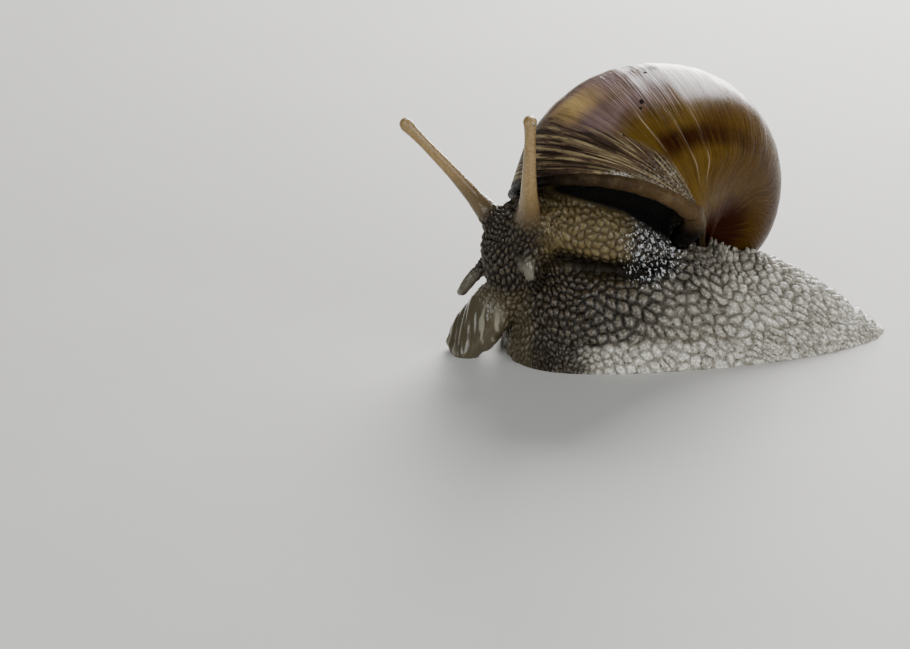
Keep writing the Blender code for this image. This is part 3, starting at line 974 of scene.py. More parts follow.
@dataclass(frozen=True)
class ShellFinish:
    """Worn glossy shell: golden brown, dark spiral bands and pale lines along the growth.

    Ramps and stripes are in radians of growth where their names end in "back", and in radians
    round the section otherwise.
    """

    gold: Colour = (0.100, 0.058, 0.009)
    amber: Colour = (0.055, 0.025, 0.0022)
    plum: Colour = (0.190, 0.125, 0.120)
    straw: Colour = (0.46, 0.31, 0.11)
    band: Colour = (0.018, 0.0025, 0.0008)
    base: Colour = (0.026, 0.0040, 0.0010)
    near_lip: Colour = (0.085, 0.052, 0.034)
    line: Colour = (0.36, 0.29, 0.15)
    old_line: Colour = (0.19, 0.105, 0.030)
    mark: Colour = (0.50, 0.42, 0.30)
    dark_line: Colour = (0.010, 0.005, 0.003)
    worn: Colour = (0.80, 0.79, 0.73)
    soil: Colour = (0.014, 0.010, 0.007)
    lip: Colour = (0.040, 0.024, 0.010)
    # painted shade: the shell inside the mouth's recess is near black
    inside: Colour = (0.0012, 0.0008, 0.0008)
    cloudy_back: Ramp = (1.9, 0.8)
    plum_low: Ramp = (-0.50, -0.22)
    plum_high: Ramp = (0.66, 0.26)
    patch: Stripe = Stripe(0.14, 0.30, 0.08)
    patch_start_back: Ramp = (0.33, 0.42)
    patch_end_back: Ramp = (0.74, 0.50)
    lower_band: Stripe = Stripe(-0.72, 0.21, 0.03)
    band_start_back: Ramp = (0.66, 0.80)
    band_fade_back: Ramp = (1.9, 0.9)
    upper_band: Stripe = Stripe(0.72, 0.18, 0.05)
    summit: Ramp = (0.80, 1.30)
    dish: Ramp = (-1.90, -2.35)
    lip_zone_back: Ramp = (0.07, -0.07)
    plain_base: Ramp = (-1.75, -2.10)
    marks_back: tuple[Stripe, ...] = tuple(
        Stripe(back, 0.011, 0.003) for back in (0.735, 0.93, 1.085))
    marks_low: Ramp = (-1.50, -1.25)
    marks_high: Ramp = (-0.30, -0.60)
    scuff: Stripe = Stripe(-0.90, 0.34, 0.10)
    scuff_back: Ramp = (0.17, 0.05)
    fleck_low: Ramp = (-0.70, -1.10)
    soil_back: Ramp = (0.22, 0.02)
    rim_back: Ramp = (0.0, -0.02)
    mouth_shade_back: Ramp = (-0.09, -0.22)
    coat_low: Ramp = (-0.75, -0.25)
    pits: tuple[Pit, ...] = (Pit(0.81, -0.30, 0.016), Pit(0.78, -0.36, 0.009),
                             Pit(0.97, 0.08, 0.014), Pit(0.51, -0.50, 0.009))
    line_sets: tuple[LineSet, ...] = (
        LineSet(40, 1.3, 2.2, (0.53, 0.62), (0.13, 0.61), (0.30, 0.9), (0.47, 0.39), (0.22, 0.55)),
        LineSet(105, 2.6, 2.0, (0.55, 0.66), (0.11, 0.36), (0.2, 0.3), (0.46, 0.38), (0.14, 0.35)),
        LineSet(11, 0.7, 0.9, (0.58, 0.66), (0.0, 0.22), (0.4, 1.0)))
    strongest: float = 0.92                  # most that lines can cover
    wave_scale: float = 140.0
    grit_scale: float = 2600.0
    patches_scale: float = 420.0
    relief_depth: float = 0.00036
    coat_roughness: float = 0.19
    refraction: float = 1.42
    specular: float = 0.06

    def grown(self, sh: Shader, back: Value, angle: Value, wave: Value) -> tuple[Any, Value]:
        """Colour the shell behind the lip: gold between plum, a dark band and a dark base.

        Args:
            sh: the shader.
            back: how far back the shell grew.
            angle: the section angle.
            wave: slow noise that bends the edges.

        Returns:
            The colour, and the share of the zone near the lip.
        """
        cloud = sh.noise(sh.joined(back * 1.6, angle * 1.1), 1.6, 3.0)
        fresh = (cloud - 0.5) * back.rise(*self.cloudy_back) + 0.5 - back * 0.10
        drifted = angle + (cloud - 0.5) * 0.5
        high = drifted.rise(*self.plum_low) * drifted.rise(*self.plum_high)
        patch = angle.within(self.patch) * back.rise(*self.patch_start_back)
        patch = patch * back.rise(*self.patch_end_back)
        bent = (wave - 0.5) * 0.12
        lower = (angle + back * 0.13 + bent).within(self.lower_band)
        lower = lower * back.rise(*self.band_start_back)
        upper = (angle + bent).within(self.upper_band)
        deep = (angle - back * 0.12 + (cloud - 0.5) * 0.3).rise(*self.dish)
        edge = angle.rise(-0.10, -1.15) * 0.33 + 0.39 + (wave - 0.5) * 0.16
        near = (back - edge + (cloud - 0.5) * 0.2).rise(*self.lip_zone_back)
        colour = sh.layered(
            sh.blend(fresh.rise(0.22, 0.56), self.amber, self.gold),
            (high * (0.55 + wave.rise(0.40, 0.60) * 0.4), self.plum),
            (patch * 0.85, self.straw),
            (lower * (back.rise(*self.band_fade_back) * 0.62 + 0.30), self.band),
            (upper * (0.35 + cloud * 0.6), self.band),
            (angle.rise(*self.summit) * 0.35, self.straw),
            (deep * 0.95, self.base),
            (near * 0.9, self.near_lip))
        return colour, near

    def material(self) -> bpy.types.Material:
        """Build the material on the growth map: how far back, and section angle.

        Returns:
            The material.
        """
        sh = Shader("shell_glaze")
        back, angle, _ = sh.parts(sh.node("ShaderNodeUVMap", {"uv_map": "growth"}, {}).outputs[0])
        place = sh.place()
        wave = sh.noise(place, self.wave_scale)
        grit = sh.noise(place, self.grit_scale, 3.0)
        patches = sh.noise(place, self.patches_scale, 4.0)
        grown, near = self.grown(sh, back, angle, wave)
        patterns = [lines.pattern(sh, back, angle, wave) for lines in self.line_sets]
        pale = dark = relief = 0
        for lines, pattern in zip(self.line_sets, patterns):
            pale = pale + pattern.rise(*lines.pale) * near.stronger(lines.pale_strength)
            dark = dark + pattern.rise(*lines.dark) * near.stronger(lines.dark_strength)
            relief = relief + pattern * near.stronger(lines.relief)
        pale = pale * (1 - angle.rise(*self.plain_base) * 0.75)
        shown = angle.rise(*self.marks_low) * angle.rise(*self.marks_high)
        shown = shown * patterns[0].rise(0.35, 0.60) * 0.40
        swayed = back + (wave - 0.5) * 0.03
        scuff = angle.within(self.scuff) * back.rise(*self.scuff_back) * patches.rise(0.42, 0.52)
        flecks = near * angle.rise(*self.fleck_low) * grit.rise(0.48, 0.64) * 0.22
        soil = (back.rise(*self.soil_back) * (1 - patches.rise(0.42, 0.56)) * 0.6
                + near * grit.rise(0.47, 0.38) * 0.22)
        pit = 0.0
        for hole in self.pits:
            pit = hole.spot(back, angle, (grit - 0.5) * 0.015).math("MAXIMUM", pit)
        # painted shade: near black from just inside the lip back to the recess's floor
        mouth = back.rise(*self.mouth_shade_back)
        colour = sh.layered(
            grown,
            (pale.math("MINIMUM", self.strongest), sh.blend(near, self.old_line, self.line)),
            (dark.math("MINIMUM", self.strongest), self.dark_line),
            *((swayed.within(mark) * shown, self.mark) for mark in self.marks_back),
            (soil.math("MINIMUM", 1.0), self.soil),
            ((scuff * grit.rise(0.40, 0.54) * 0.95).math("MAXIMUM", flecks), self.worn),
            (pit, self.dark_line),
            (back.rise(*self.rim_back), self.lip),
            (mouth, self.inside))
        rough = 0.30 + near * 0.20 + scuff * 0.25 + (grit - 0.5) * 0.25 + mouth * 0.4 + pit * 0.5
        coat = (1 - near * 0.7) * (1 - mouth) * (1 - pit) * angle.rise(*self.coat_low)
        coat = coat * (0.14 + patterns[0] * 0.16)
        bump = sh.bump(relief + grit * (0.04 + near * 0.30), self.relief_depth)
        return sh.finish({"Base Color": colour, "Roughness": rough, "Normal": bump,
                          "Coat Weight": coat, "Coat Roughness": self.coat_roughness,
                          "IOR": self.refraction, "Specular IOR Level": self.specular})


@dataclass(frozen=True)
class RollFinish:
    """The rolled lip: brown, painted dark in shade and pale where lit, worn in patches there."""

    # near black: painted shade where the lip lies in shade, and the colour of dark grain specks
    dark: Colour = (0.0012, 0.0006, 0.0004)
    pale: Colour = (0.072, 0.043, 0.018)
    worn: Colour = (0.115, 0.078, 0.038)
    # painted light: pale from the lip's left end rightwards and from its lower side upwards, near
    # black as painted shade outside that
    painted_lit_along: Ramp = (-0.022, 0.002)      # m
    painted_lit_up: Ramp = (0.0215, 0.0260)        # m
    cloud_scale: float = 500.0
    grain_scale: float = 2400.0
    relief_depth: float = 0.00012
    refraction: float = 1.42
    specular: float = 0.12

    def material(self) -> bpy.types.Material:
        """Build the material in Object coordinates.

        Returns:
            The material.
        """
        sh = Shader("lip_horn")
        place = sh.place()
        along, _, up = sh.parts(place)
        cloud = sh.noise(place, self.cloud_scale, 3.0)
        grain = sh.noise(place, self.grain_scale, 3.0)
        # shown is the share painted as lit; the rest is painted as shade
        shown = (along + (cloud - 0.5) * 0.006).rise(*self.painted_lit_along) * up.rise(*self.painted_lit_up)
        colour = sh.layered(
            sh.blend(shown, self.dark, self.pale),
            (cloud.rise(0.50, 0.66) * shown * 0.45, self.worn),
            (grain.rise(0.46, 0.36) * 0.25, self.dark))
        return sh.finish({"Base Color": colour, "Roughness": 0.38 + (grain - 0.5) * 0.4,
                          "Normal": sh.bump(grain + cloud, self.relief_depth),
                          "IOR": self.refraction, "Specular IOR Level": self.specular})


# ------------------------------------------------------------------ flesh form
@dataclass(frozen=True)
class Taper:
    """A fall from 1 to 0: one less a power of the share of the way, to a power of its own."""

    inner: float
    outer: float

    def over(self, share: Array) -> Array:
        """Return what is left at each share of the way."""
        return (1 - share ** self.inner) ** self.outer


@dataclass(frozen=True)
class FleshForm:
    """Sizes of the lofts that run together into the flesh, in millimetres."""

    tail_x: float = 39.4
    front_x: float = -23.5
    foot_y: float = 0.9
    half_width: float = 14.3
    height: float = 17.3
    hidden_height: float = 16.6              # behind the neck, where the shell rests on the foot
    sink: float = 0.8
    fringe: float = 0.7
    width_back: Taper = Taper(2, 0.58)
    width_front: Taper = Taper(3, 0.34)
    height_back: Taper = Taper(2.6, 1.15)
    height_front: Taper = Taper(4.5, 0.5)
    roundness: float = 2.2
    slopes: Pairs = (
        (-23.5, 0.55), (-12, 0.85), (4, 0.95), (15, 1.0), (24, 1.25))
    stations: int = 130
    arch_points: int = 81
    sole_points: int = 33
    neck_steps: int = 130
    neck_sides: int = 64
    lobe_steps: int = 60
    lobe_sides: int = 40
    eye_feeler_steps: int = 90
    lip_feeler_steps: int = 40
    feeler_sides: int = 28
    face_across: Place = (0.640, -0.768, 0.0)
    neck: tuple[tuple[float, ...], ...] = (
        (13.0, 0.8, 7.0, 8.0, 5.5), (8.5, 0.8, 11.5, 10.0, 6.6), (0.0, 1.4, 17.0, 8.6, 8.0),
        (-8.0, 0.7, 19.8, 7.8, 7.8), (-15.0, 0.6, 20.2, 6.6, 7.0), (-19.8, 0.4, 20.2, 6.1, 5.4),
        (-22.4, -0.2, 18.0, 5.6, 4.8), (-22.7, -0.8, 14.6, 4.9, 4.4), (-23.1, -1.2, 11.6, 4.2, 3.6),
        (-23.5, -1.4, 9.6, 2.6, 2.2))
    lobe: tuple[tuple[float, ...], ...] = (
        (-22.5, 0.2, 10.5, 3.6, 2.6), (-25.2, 0.2, 7.8, 4.2, 3.0), (-28.0, 0.3, 4.2, 4.4, 2.6),
        (-30.6, 0.4, 1.4, 3.8, 1.7), (-32.4, 0.5, 0.2, 2.6, 1.0))
    eye_feelers: tuple[Places, ...] = (
        ((-21.5, -2.4, 19.4), (-21.0, -5.2, 24.6), (-21.6, -9.2, 30.6), (-21.9, -11.4, 36.8),
         (-22.1, -12.6, 42.8)),
        ((-23.4, 1.8, 19.6), (-26.9, 4.4, 23.3), (-31.9, 5.4, 29.2), (-39.4, 7.0, 37.3)))
    eye_feeler_widths: Pairs = (
        (0.0, 3.3), (0.14, 2.55), (0.25, 1.95), (0.42, 1.35), (0.62, 1.05), (0.85, 0.86),
        (0.92, 0.95), (0.965, 1.15), (0.99, 0.85), (1.0, 0.35))
    lip_feelers: tuple[Places, ...] = (
        ((-20.4, -3.4, 18.6), (-21.1, -5.9, 16.6), (-20.8, -6.7, 13.9)),
        ((-24.8, 2.0, 15.6), (-28.4, 2.2, 12.2), (-31.0, 2.4, 8.9)))
    lip_feeler_widths: Pairs = (
        (0.0, 1.8), (0.3, 1.25), (0.8, 0.85), (0.94, 0.72), (1.0, 0.3))
    fold: Places = (
        (-15.6, -4.3, 16.9), (-14.4, -4.5, 16.5), (-9.4, -4.9, 15.3), (-3.3, -5.9, 14.4),
        (0.6, -6.2, 15.4))

    def foot(self) -> Surface:
        """Loft the foot: a rounded front, a long tapering tail and a thin edge all round.

        Its half width and height taper to the tail and to the front, and each cross section rises
        as one less a power of the share of the half width.

        Returns:
            The closed foot, whose underside lies below the ground.
        """
        share = (1 - np.cos(np.linspace(0.04, math.pi - 0.03, self.stations))) / 2
        x = self.front_x + (self.tail_x - self.front_x) * share
        back, front = np.clip(x / self.tail_x, 0, 1), np.clip(x / self.front_x, 0, 1)
        half_width = self.half_width * self.width_back.over(back) * self.width_front.over(front)
        top = np.interp(x, (-5, 5), (self.height, self.hidden_height))
        height = top * self.height_back.over(back) * self.height_front.over(front)
        slope = np.interp(x, *np.transpose(self.slopes))[:, None]
        across = np.cos(np.linspace(0, math.pi, self.arch_points))
        arch = (1 - np.abs(across) ** self.roundness) ** slope
        rise = (np.minimum(self.fringe, height)[:, None]
                + np.maximum(height - self.fringe, 0)[:, None] * arch)
        under = np.linspace(-1, 1, self.sole_points)
        y = self.foot_y + half_width[:, None] * np.concatenate([across, under])
        z = np.concatenate([rise, np.full((len(x), len(under)), -self.sink)], axis=1)
        return skin_rings(np.stack(np.broadcast_arrays(x[:, None], y, z), axis=-1))

    @staticmethod
    def with_widths(points: Sequence[Sequence[float]], widths: Sequence[Sequence[float]],
                    steps: int) -> Array:
        """Lay a path of round sections through points.

        Args:
            points: places that the path passes through.
            widths: pairs of the share along the path and the radius there.
            steps: number of rows wanted.

        Returns:
            Rows of x, y, z, half width and half height.
        """
        path = smooth_path(points, steps)
        radius = np.interp(np.linspace(0, 1, steps), *np.transpose(widths))
        return np.column_stack([path, radius, radius])

    def eye_feeler_paths(self) -> list[Array]:
        """Return the eye feelers' path rows, left and right."""
        return [self.with_widths(points, self.eye_feeler_widths, self.eye_feeler_steps)
                for points in self.eye_feelers]

    def lip_feeler_paths(self) -> list[Array]:
        """Return the lip feelers' path rows, left and right."""
        return [self.with_widths(points, self.lip_feeler_widths, self.lip_feeler_steps)
                for points in self.lip_feelers]

    def collar(self, shell: ShellMesh) -> Surface:
        """Skin the mantle's collar, a lens that lies in the mouth's recess.

        Args:
            shell: the shell that it fills.

        Returns:
            The closed collar.
        """
        loop = shell.mouth_loop()
        widest = 1 - 2 * shell.lip_round - 0.05
        rings = [shell.form.mouth_ring(loop, share, depth)
                 for share, depth in ((0.5, 0.95), (widest, 0.8), (0.5, 0.55))]
        return skin_rings(shell.form.placed(np.stack(rings)))

    def lofts(self, shell: ShellMesh) -> list[Surface]:
        """Make every loft of the flesh.

        Args:
            shell: the shell that the collar fills.

        Returns:
            Closed surfaces that run into one another.
        """
        across = self.face_across
        paths = self.eye_feeler_paths() + self.lip_feeler_paths()
        return [self.foot(),
                tube(smooth_path(self.neck, self.neck_steps), self.neck_sides, across),
                tube(smooth_path(self.lobe, self.lobe_steps), self.lobe_sides, across),
                self.collar(shell), *(tube(path, self.feeler_sides, across) for path in paths)]


@dataclass(frozen=True)
class Magnifier:
    """Swells space about the head, so that an even grid comes out finer there.

    A point's distance from the middle grows by the gain times the reach times the hyperbolic
    tangent of the distance over the reach.
    """

    middle: Place = (-22.0, -1.0, 19.0)
    reach: float = 13.0
    gain: float = 0.6
    farthest: float = 120.0
    table_rows: int = 6000

    def swollen(self, distance: Array) -> Array:
        """Return how much further out points at given distances go."""
        return self.gain * self.reach * np.tanh(distance / self.reach)

    def grown(self, points: Array) -> Array:
        """Take points into the swollen space.

        Args:
            points: places in millimetres.

        Returns:
            The places there.
        """
        away = points - self.middle
        distance = np.maximum(np.linalg.norm(away, axis=1, keepdims=True), 1e-9)
        return self.middle + away * (1 + self.swollen(distance) / distance)

    def shrunk(self, points: Array) -> Array:
        """Take points back from the swollen space, by reading the growth's table backwards.

        Args:
            points: places in the swollen space.

        Returns:
            The places in millimetres.
        """
        away = points - self.middle
        distance = np.maximum(np.linalg.norm(away, axis=1, keepdims=True), 1e-9)
        table = np.linspace(0, self.farthest, self.table_rows)
        swollen = table + self.swollen(table)
        return self.middle + away * np.interp(distance, swollen, table) / distance


@dataclass
class Tubercles:
    """Even cells over the skin, each a low rounded bump, with furrows between."""

    seed: int = 7
    rounds: int = 5
    block: int = 4000                        # points handled at once
    face: float = 1.20                       # mm, and so are the sizes that follow
    neck_gain: float = 0.35
    flank_gain: float = 0.90
    tail_loss: float = 0.80
    uneven: float = 0.20
    fringe_loss: float = 0.30
    packing: float = 0.80                    # a cell's area over its size squared
    dome_reach: float = 0.60                 # a cell's radius over its size
    height: float = 0.50                     # mm, and so are the heights that follow
    neck_height: float = 0.30
    tail_height: float = 0.28
    sunk: float = 0.70                       # how far the domes sink, as a share of the height

    @staticmethod
    def stretched(points: Array) -> Array:
        """Bend and squeeze space so that even cells come out long and in wavy slanting rows.

        Length grows with height, so that a row leans back as it rises towards the shell, by a
        share that is 0 at the face. Heights are squeezed, and slow sines bend the rows.

        Args:
            points: places in millimetres.

        Returns:
            The bent places.
        """
        x, y, z = points.T
        lean = 0.30 * step(-15.0, 0.0, x) * step(19.0, 12.0, z) + 0.6 * step(8.0, 22.0, x)
        bend = x + lean * (z - 8.0) + 0.35 * np.sin(z * 0.9 + x * 0.3)
        row = bend + 0.2 * np.sin(x * 1.1 + z * 0.4)
        squeeze = 0.62 + 0.24 * step(-19.5, -14.0, x) - 0.20 * step(8.0, 22.0, x)
        upright = squeeze * z + 0.35 * np.sin(x * 0.7) + 0.12 * np.sin(x * 1.6 + y)
        return np.stack([row, y, upright], axis=1)

    def size(self, points: Array) -> Array:
        """Work out the cells' size: fine on the face, coarse on neck and flank.

        Args:
            points: places in millimetres.

        Returns:
            The size in millimetres.
        """
        x, y, z = points.T
        size = (self.face + self.neck_gain * step(-19.0, -12.0, x)
                + self.flank_gain * step(-16.0, -2.0, x) * step(16.0, 10.0, z))
        size = (size - self.tail_loss * step(6.0, 32.0, x)
                + self.uneven * np.sin(x * 1.7 + y) * np.sin(z * 1.9))
        return size * (1 - self.fringe_loss * step(4.8, 2.5, z))

    def lift(self, points: Array, inside: Array, tone: Array) -> Array:
        """Raise a dome over each cell and sink the furrows between.

        Args:
            points: the skin's points.
            inside: how far inside its cell each point lies.
            tone: a number from 0 to 1 that the cell shares.

        Returns:
            How far each point rises, in millimetres.
        """
        share = np.clip(inside / 0.85, 0, 1)
        dome = (share * (2 - share)) ** 0.75
        height = (self.height + self.neck_height * step(-12, 0, points[:, 0])
                  - self.tail_height * step(18, 36, points[:, 0])) * (0.75 + 0.5 * tone)
        return (dome - self.sunk) * height

    def nearest(self, points: Array, centres: Array) -> tuple[Array, Array, Array]:
        """Find each point's nearest centre and the distances to the two nearest.

        A squared distance is the sum of both squares less twice the product.

        Args:
            points: where to look from.
            centres: the cells' centres.

        Returns:
            The nearest centre's number, its distance, and the second one's distance.
        """
        points, centres = points.astype(np.float32), centres.astype(np.float32)
        squares = (centres ** 2).sum(axis=1)
        numbers, first, second = [], [], []
        for start in range(0, len(points), self.block):
            part = points[start:start + self.block]
            gap = (part ** 2).sum(axis=1)[:, None] + squares - 2 * part @ centres.T
            rows = np.arange(len(part))
            best = gap.argmin(axis=1)
            first.append(gap[rows, best])
            gap[rows, best] = np.inf
            second.append(gap.min(axis=1))
            numbers.append(best)
        first, second = (np.sqrt(np.maximum(np.concatenate(part), 0)) for part in (first, second))
        return np.concatenate(numbers), first, second

    def cells(self, points: Array, area: Array) -> tuple[Array, Array]:
        """Spread centres evenly and measure the cells.

        Centres start at points drawn by area over the cell's own area, and each then moves
        several times to the middle of the points nearest to it.

        Args:
            points: the skin's points.
            area: each point's share of the skin's area.

        Returns:
            How far inside its cell each point lies, 0 at a furrow and about 1 at a middle, and a
            number from 0 to 1 that the whole cell shares.
        """
        draw = np.random.default_rng(self.seed)
        size = self.size(points)
        places = self.stretched(points)
        weight = area / (self.packing * size ** 2)
        count = int(weight.sum())
        chosen = draw.choice(len(points), count, replace=False, p=weight / weight.sum())
        centres = places[chosen]
        for _ in range(self.rounds):
            number = self.nearest(places, centres)[0]
            held = np.maximum(np.bincount(number, weight, count), 1e-9)
            sums = np.stack([np.bincount(number, weight * places[:, axis], count)
                             for axis in range(3)], axis=1)
            centres = np.where((held > 1e-9)[:, None], sums / held[:, None], centres)
        number, first, second = self.nearest(places, centres)
        tone = draw.random(count)[number]
        round_top = 1.1 * (1 - (first / (self.dome_reach * size)) ** 2)
        return np.maximum(np.minimum((second - first) / size, round_top), 0), tone


class Zone(Enum):
    """Names of the numbers kept at the skin's points for its finish."""

    CELL = "cell"
    TONE = "tone"
    PALE_AND_LIT = "pale"
    PALE_LIT_NECK = "neck"
    FEELER = "feeler"
    LIP_FEELER = "lip_feeler"
    MANTLE_AND_SHADE = "mantle"
    LOBE = "lobe"
    SHADED_FOLD = "fold"
    WET = "wet"


@dataclass
class Skin:
    """The one skin over all the flesh."""

    form: FleshForm
    shell: ShellMesh
    magnifier: Magnifier = field(default_factory=Magnifier)
    voxel: float = 0.35                      # mm in the swollen space
    room_voxel: float = 0.4                  # mm
    ground_size: float = 200.0               # mm
    calm_rounds: int = 9
    clearance: float = 0.25                  # mm between the skin and the shell
    # x and height of the edge of the shade under the shell's lip; above it the skin is painted near
    # black
    lip_shadow_edge: Pairs = (
        (-16.0, 27.8), (-11.0, 26.1), (-5.8, 24.3), (0.3, 20.2), (3.1, 18.8), (8.0, 18.2))
    eye_feeler_root: Ramp = (0.10, 0.36)     # share of the way along
    eye_feeler_reach: Ramp = (1.9, 1.35)     # share of the width
    lip_feeler_root: Ramp = (0.30, 0.60)
    lip_feeler_reach: Ramp = (1.8, 1.3)
    saddle_depth: float = 5.0                # mm
    saddle_front: Ramp = (3.0, 9.5)
    saddle_back: Ramp = (20.0, 12.0)
    saddle_low: Ramp = (5.0, 16.5)
    saddle_side: Ramp = (3.0, -2.0)
    wet_middle: Place = (-1.2, -6.8, 18.6)
    wet_size: Place = (3.4, 3.4, 4.6)
    groove_height: float = 4.3               # mm above the ground
    groove_width: float = 0.35
    groove_depth: float = 0.40
    fold_depth: float = 0.75
    sole_height: float = 0.02
    sole_share: float = 0.02                 # of the cells that other skin of the same area has
    sharp_angle: float = math.radians(60)
    zone_steps: int = 40
    feeler_calm: float = 0.35                # how much less the feelers are evened out
    grid_pull: float = 0.5

    def near(self, points: Array, path: Array) -> tuple[Array, Array]:
        """Measure points against a path.

        Args:
            points: places in millimetres.
            path: rows of x, y, z, half width and half height.

        Returns:
            The distance to the path over its width there, and the share along it.
        """
        best = np.full(len(points), np.inf)
        share = np.zeros(len(points))
        for along, row in zip(np.linspace(0, 1, len(path)), path):
            gap = np.linalg.norm(points - row[:3], axis=1) / max(row[3], 0.5)
            share = np.where(gap < best, along, share)
            best = np.minimum(gap, best)
        return best, share

    def joined(self) -> bpy.types.Object:
        """Run the lofts together into one body on a grid that is finest at the head.

        The creases where lofts meet are rounded and the grid's steps are evened out, less on the
        feelers.

        Returns:
            The body, before it is cut.
        """
        lofts = self.form.lofts(self.shell)
        starts = np.cumsum([0] + [len(loft.points) for loft in lofts])
        points = np.vstack([loft.points for loft in lofts])
        faces = [block + start for loft, start in zip(lofts, starts) for block in loft.faces]
        body = Surface(self.magnifier.grown(points), faces).build("skin")
        point_outwards(body)
        voxel_remesh(body, self.voxel)
        points = self.magnifier.shrunk(read_points(body.data) / MM)
        feelers, lips = self.feeler_shares(points)
        edges = read_edges(body.data)
        share = (1 - self.feeler_calm * np.maximum(feelers, lips))[:, None]
        points = relax(points, edges, share, self.calm_rounds)
        firm = (1 - np.clip(feelers + lips, 0, 1))[:, None]
        points = relax(points, edges, firm, self.calm_rounds, (self.grid_pull,))
        points[:, 2] -= self.saddle(points)
        write_points(body.data, points * MM)
        return body

    def saddle(self, points: Array) -> Array:
        """Sink the flesh where the shell's base bears on it, on the left side.

        Args:
            points: places in millimetres.

        Returns:
            How far each point sinks, in millimetres.
        """
        x, y, z = points.T
        return (self.saddle_depth * step(*self.saddle_front, x) * step(*self.saddle_back, x)
                * step(*self.saddle_low, z) * step(*self.saddle_side, y))

    def share_on(self, points: Array, paths: list[Array], root: Ramp, reach: Ramp) -> Array:
        """Tell the points on given paths from the others, with a soft change.

        Args:
            points: places in millimetres.
            paths: rows of x, y, z, half width and half height.
            root: where along a path its share rises.
            reach: where across it the share falls, over its width.

        Returns:
            1 on the paths and 0 elsewhere.
        """
        share = np.zeros(len(points))
        for path in paths:
            gap, along = self.near(points, path)
            share = np.maximum(share, step(*root, along) * step(*reach, gap))
        return share

    def feeler_shares(self, points: Array) -> tuple[Array, Array]:
        """Tell the feelers from the rest of the skin.

        Args:
            points: places in millimetres.

        Returns:
            1 on the eye feelers and 0 elsewhere, and the same for the lip feelers.
        """
        return (self.share_on(points, self.form.eye_feeler_paths(), self.eye_feeler_root,
                              self.eye_feeler_reach),
                self.share_on(points, self.form.lip_feeler_paths(), self.lip_feeler_root,
                              self.lip_feeler_reach))

    def cut(self, body: bpy.types.Object) -> None:
        """Cut the sole flat and clear the skin of the shell.

        The tool for the shell is its own surface, moved outwards by the clearance and run through
        a grid so that it nowhere crosses itself.

        Args:
            body: the skin.
        """
        shell, roll = self.shell.surface(), self.shell.roll()
        points = np.vstack([shell.points + PLAN_CENTRE, roll.points])
        faces = shell.faces + [block + len(shell.points) for block in roll.faces]
        room = Surface(points, faces).build("room")
        point_outwards(room)
        points = read_points(room.data) + read_points(room.data, "normal") * self.clearance * MM
        write_points(room.data, points)
        voxel_remesh(room, self.room_voxel)
        mesh = bpy.data.meshes.new("ground")
        work = bmesh.new()
        bmesh.ops.create_cube(work, size=self.ground_size * MM)
        bmesh.ops.translate(work, verts=work.verts, vec=(0, 0, -self.ground_size / 2 * MM))
        work.to_mesh(mesh)
        work.free()
        ground = linked("ground", mesh)
        for tool in (room, ground):
            boolean = body.modifiers.new("Clear", "BOOLEAN")
            boolean.operation = "DIFFERENCE"
            boolean.solver = "EXACT"
            boolean.object = tool
            keep_evaluated(body)
            bpy.data.objects.remove(tool, do_unlink=True)
        renumber(body.data)

    @staticmethod
    def point_areas(mesh: bpy.types.Mesh) -> Array:
        """Share the area of the faces out among their points.

        Args:
            mesh: the skin's mesh.

        Returns:
            Each point's area in square millimetres.
        """
        areas = np.empty(len(mesh.polygons))
        sizes = np.empty(len(mesh.polygons), dtype=np.int32)
        corners = np.empty(len(mesh.loops), dtype=np.int32)
        mesh.polygons.foreach_get("area", areas)
        mesh.polygons.foreach_get("loop_total", sizes)
        mesh.loops.foreach_get("vertex_index", corners)
        shares = np.repeat(areas / sizes, sizes)
        return np.bincount(corners, shares, len(mesh.vertices)) / MM ** 2

    def lobe_folds(self, points: Array) -> Array:
        """Fold the front lobe lengthwise, by sines of the way across it.

        Args:
            points: places in millimetres.

        Returns:
            The folds' height in millimetres.
        """
        across = points @ unit(self.form.face_across) + 0.25 * points[:, 2]
        large = 0.14 * np.sin(across * 1.7 + 0.9 * np.sin(points[:, 2] * 0.7))
        return large + 0.05 * np.sin(across * 5.1 + 1.0)

    def wrinkles(self, points: Array) -> Array:
        """Return the height of the foot's larger unevenness.

        Upright wrinkles at the front are a sine of the way along the flank that bends with the
        height. Elsewhere low swells are products of slow sines, stronger near the fringe.

        Args:
            points: the skin's points in millimetres.

        Returns:
            The height in millimetres.
        """
        x, y, z = points.T
        front = step(-11.0, -17.0, x) * step(14.0, 9.0, z)
        along = np.arctan2(y - self.form.foot_y, -(x + 14.0)) * 9.0
        upright = np.sin(along * 2.1 + z * 0.9 + 1.3 * np.sin(z * 0.8)) * 0.12 * front
        swell = np.sin(x * 0.9 + 0.8 * np.sin(z * 1.3)) * np.sin(z * 1.4 + 0.7 * np.sin(x * 0.6))
        fringe = step(5.0, 2.0, z) * np.sin(x * 2.4 + 1.2 * np.sin(x * 0.7)) * 0.13
        return upright + 0.13 * swell * step(17.0, 12.0, z) + fringe

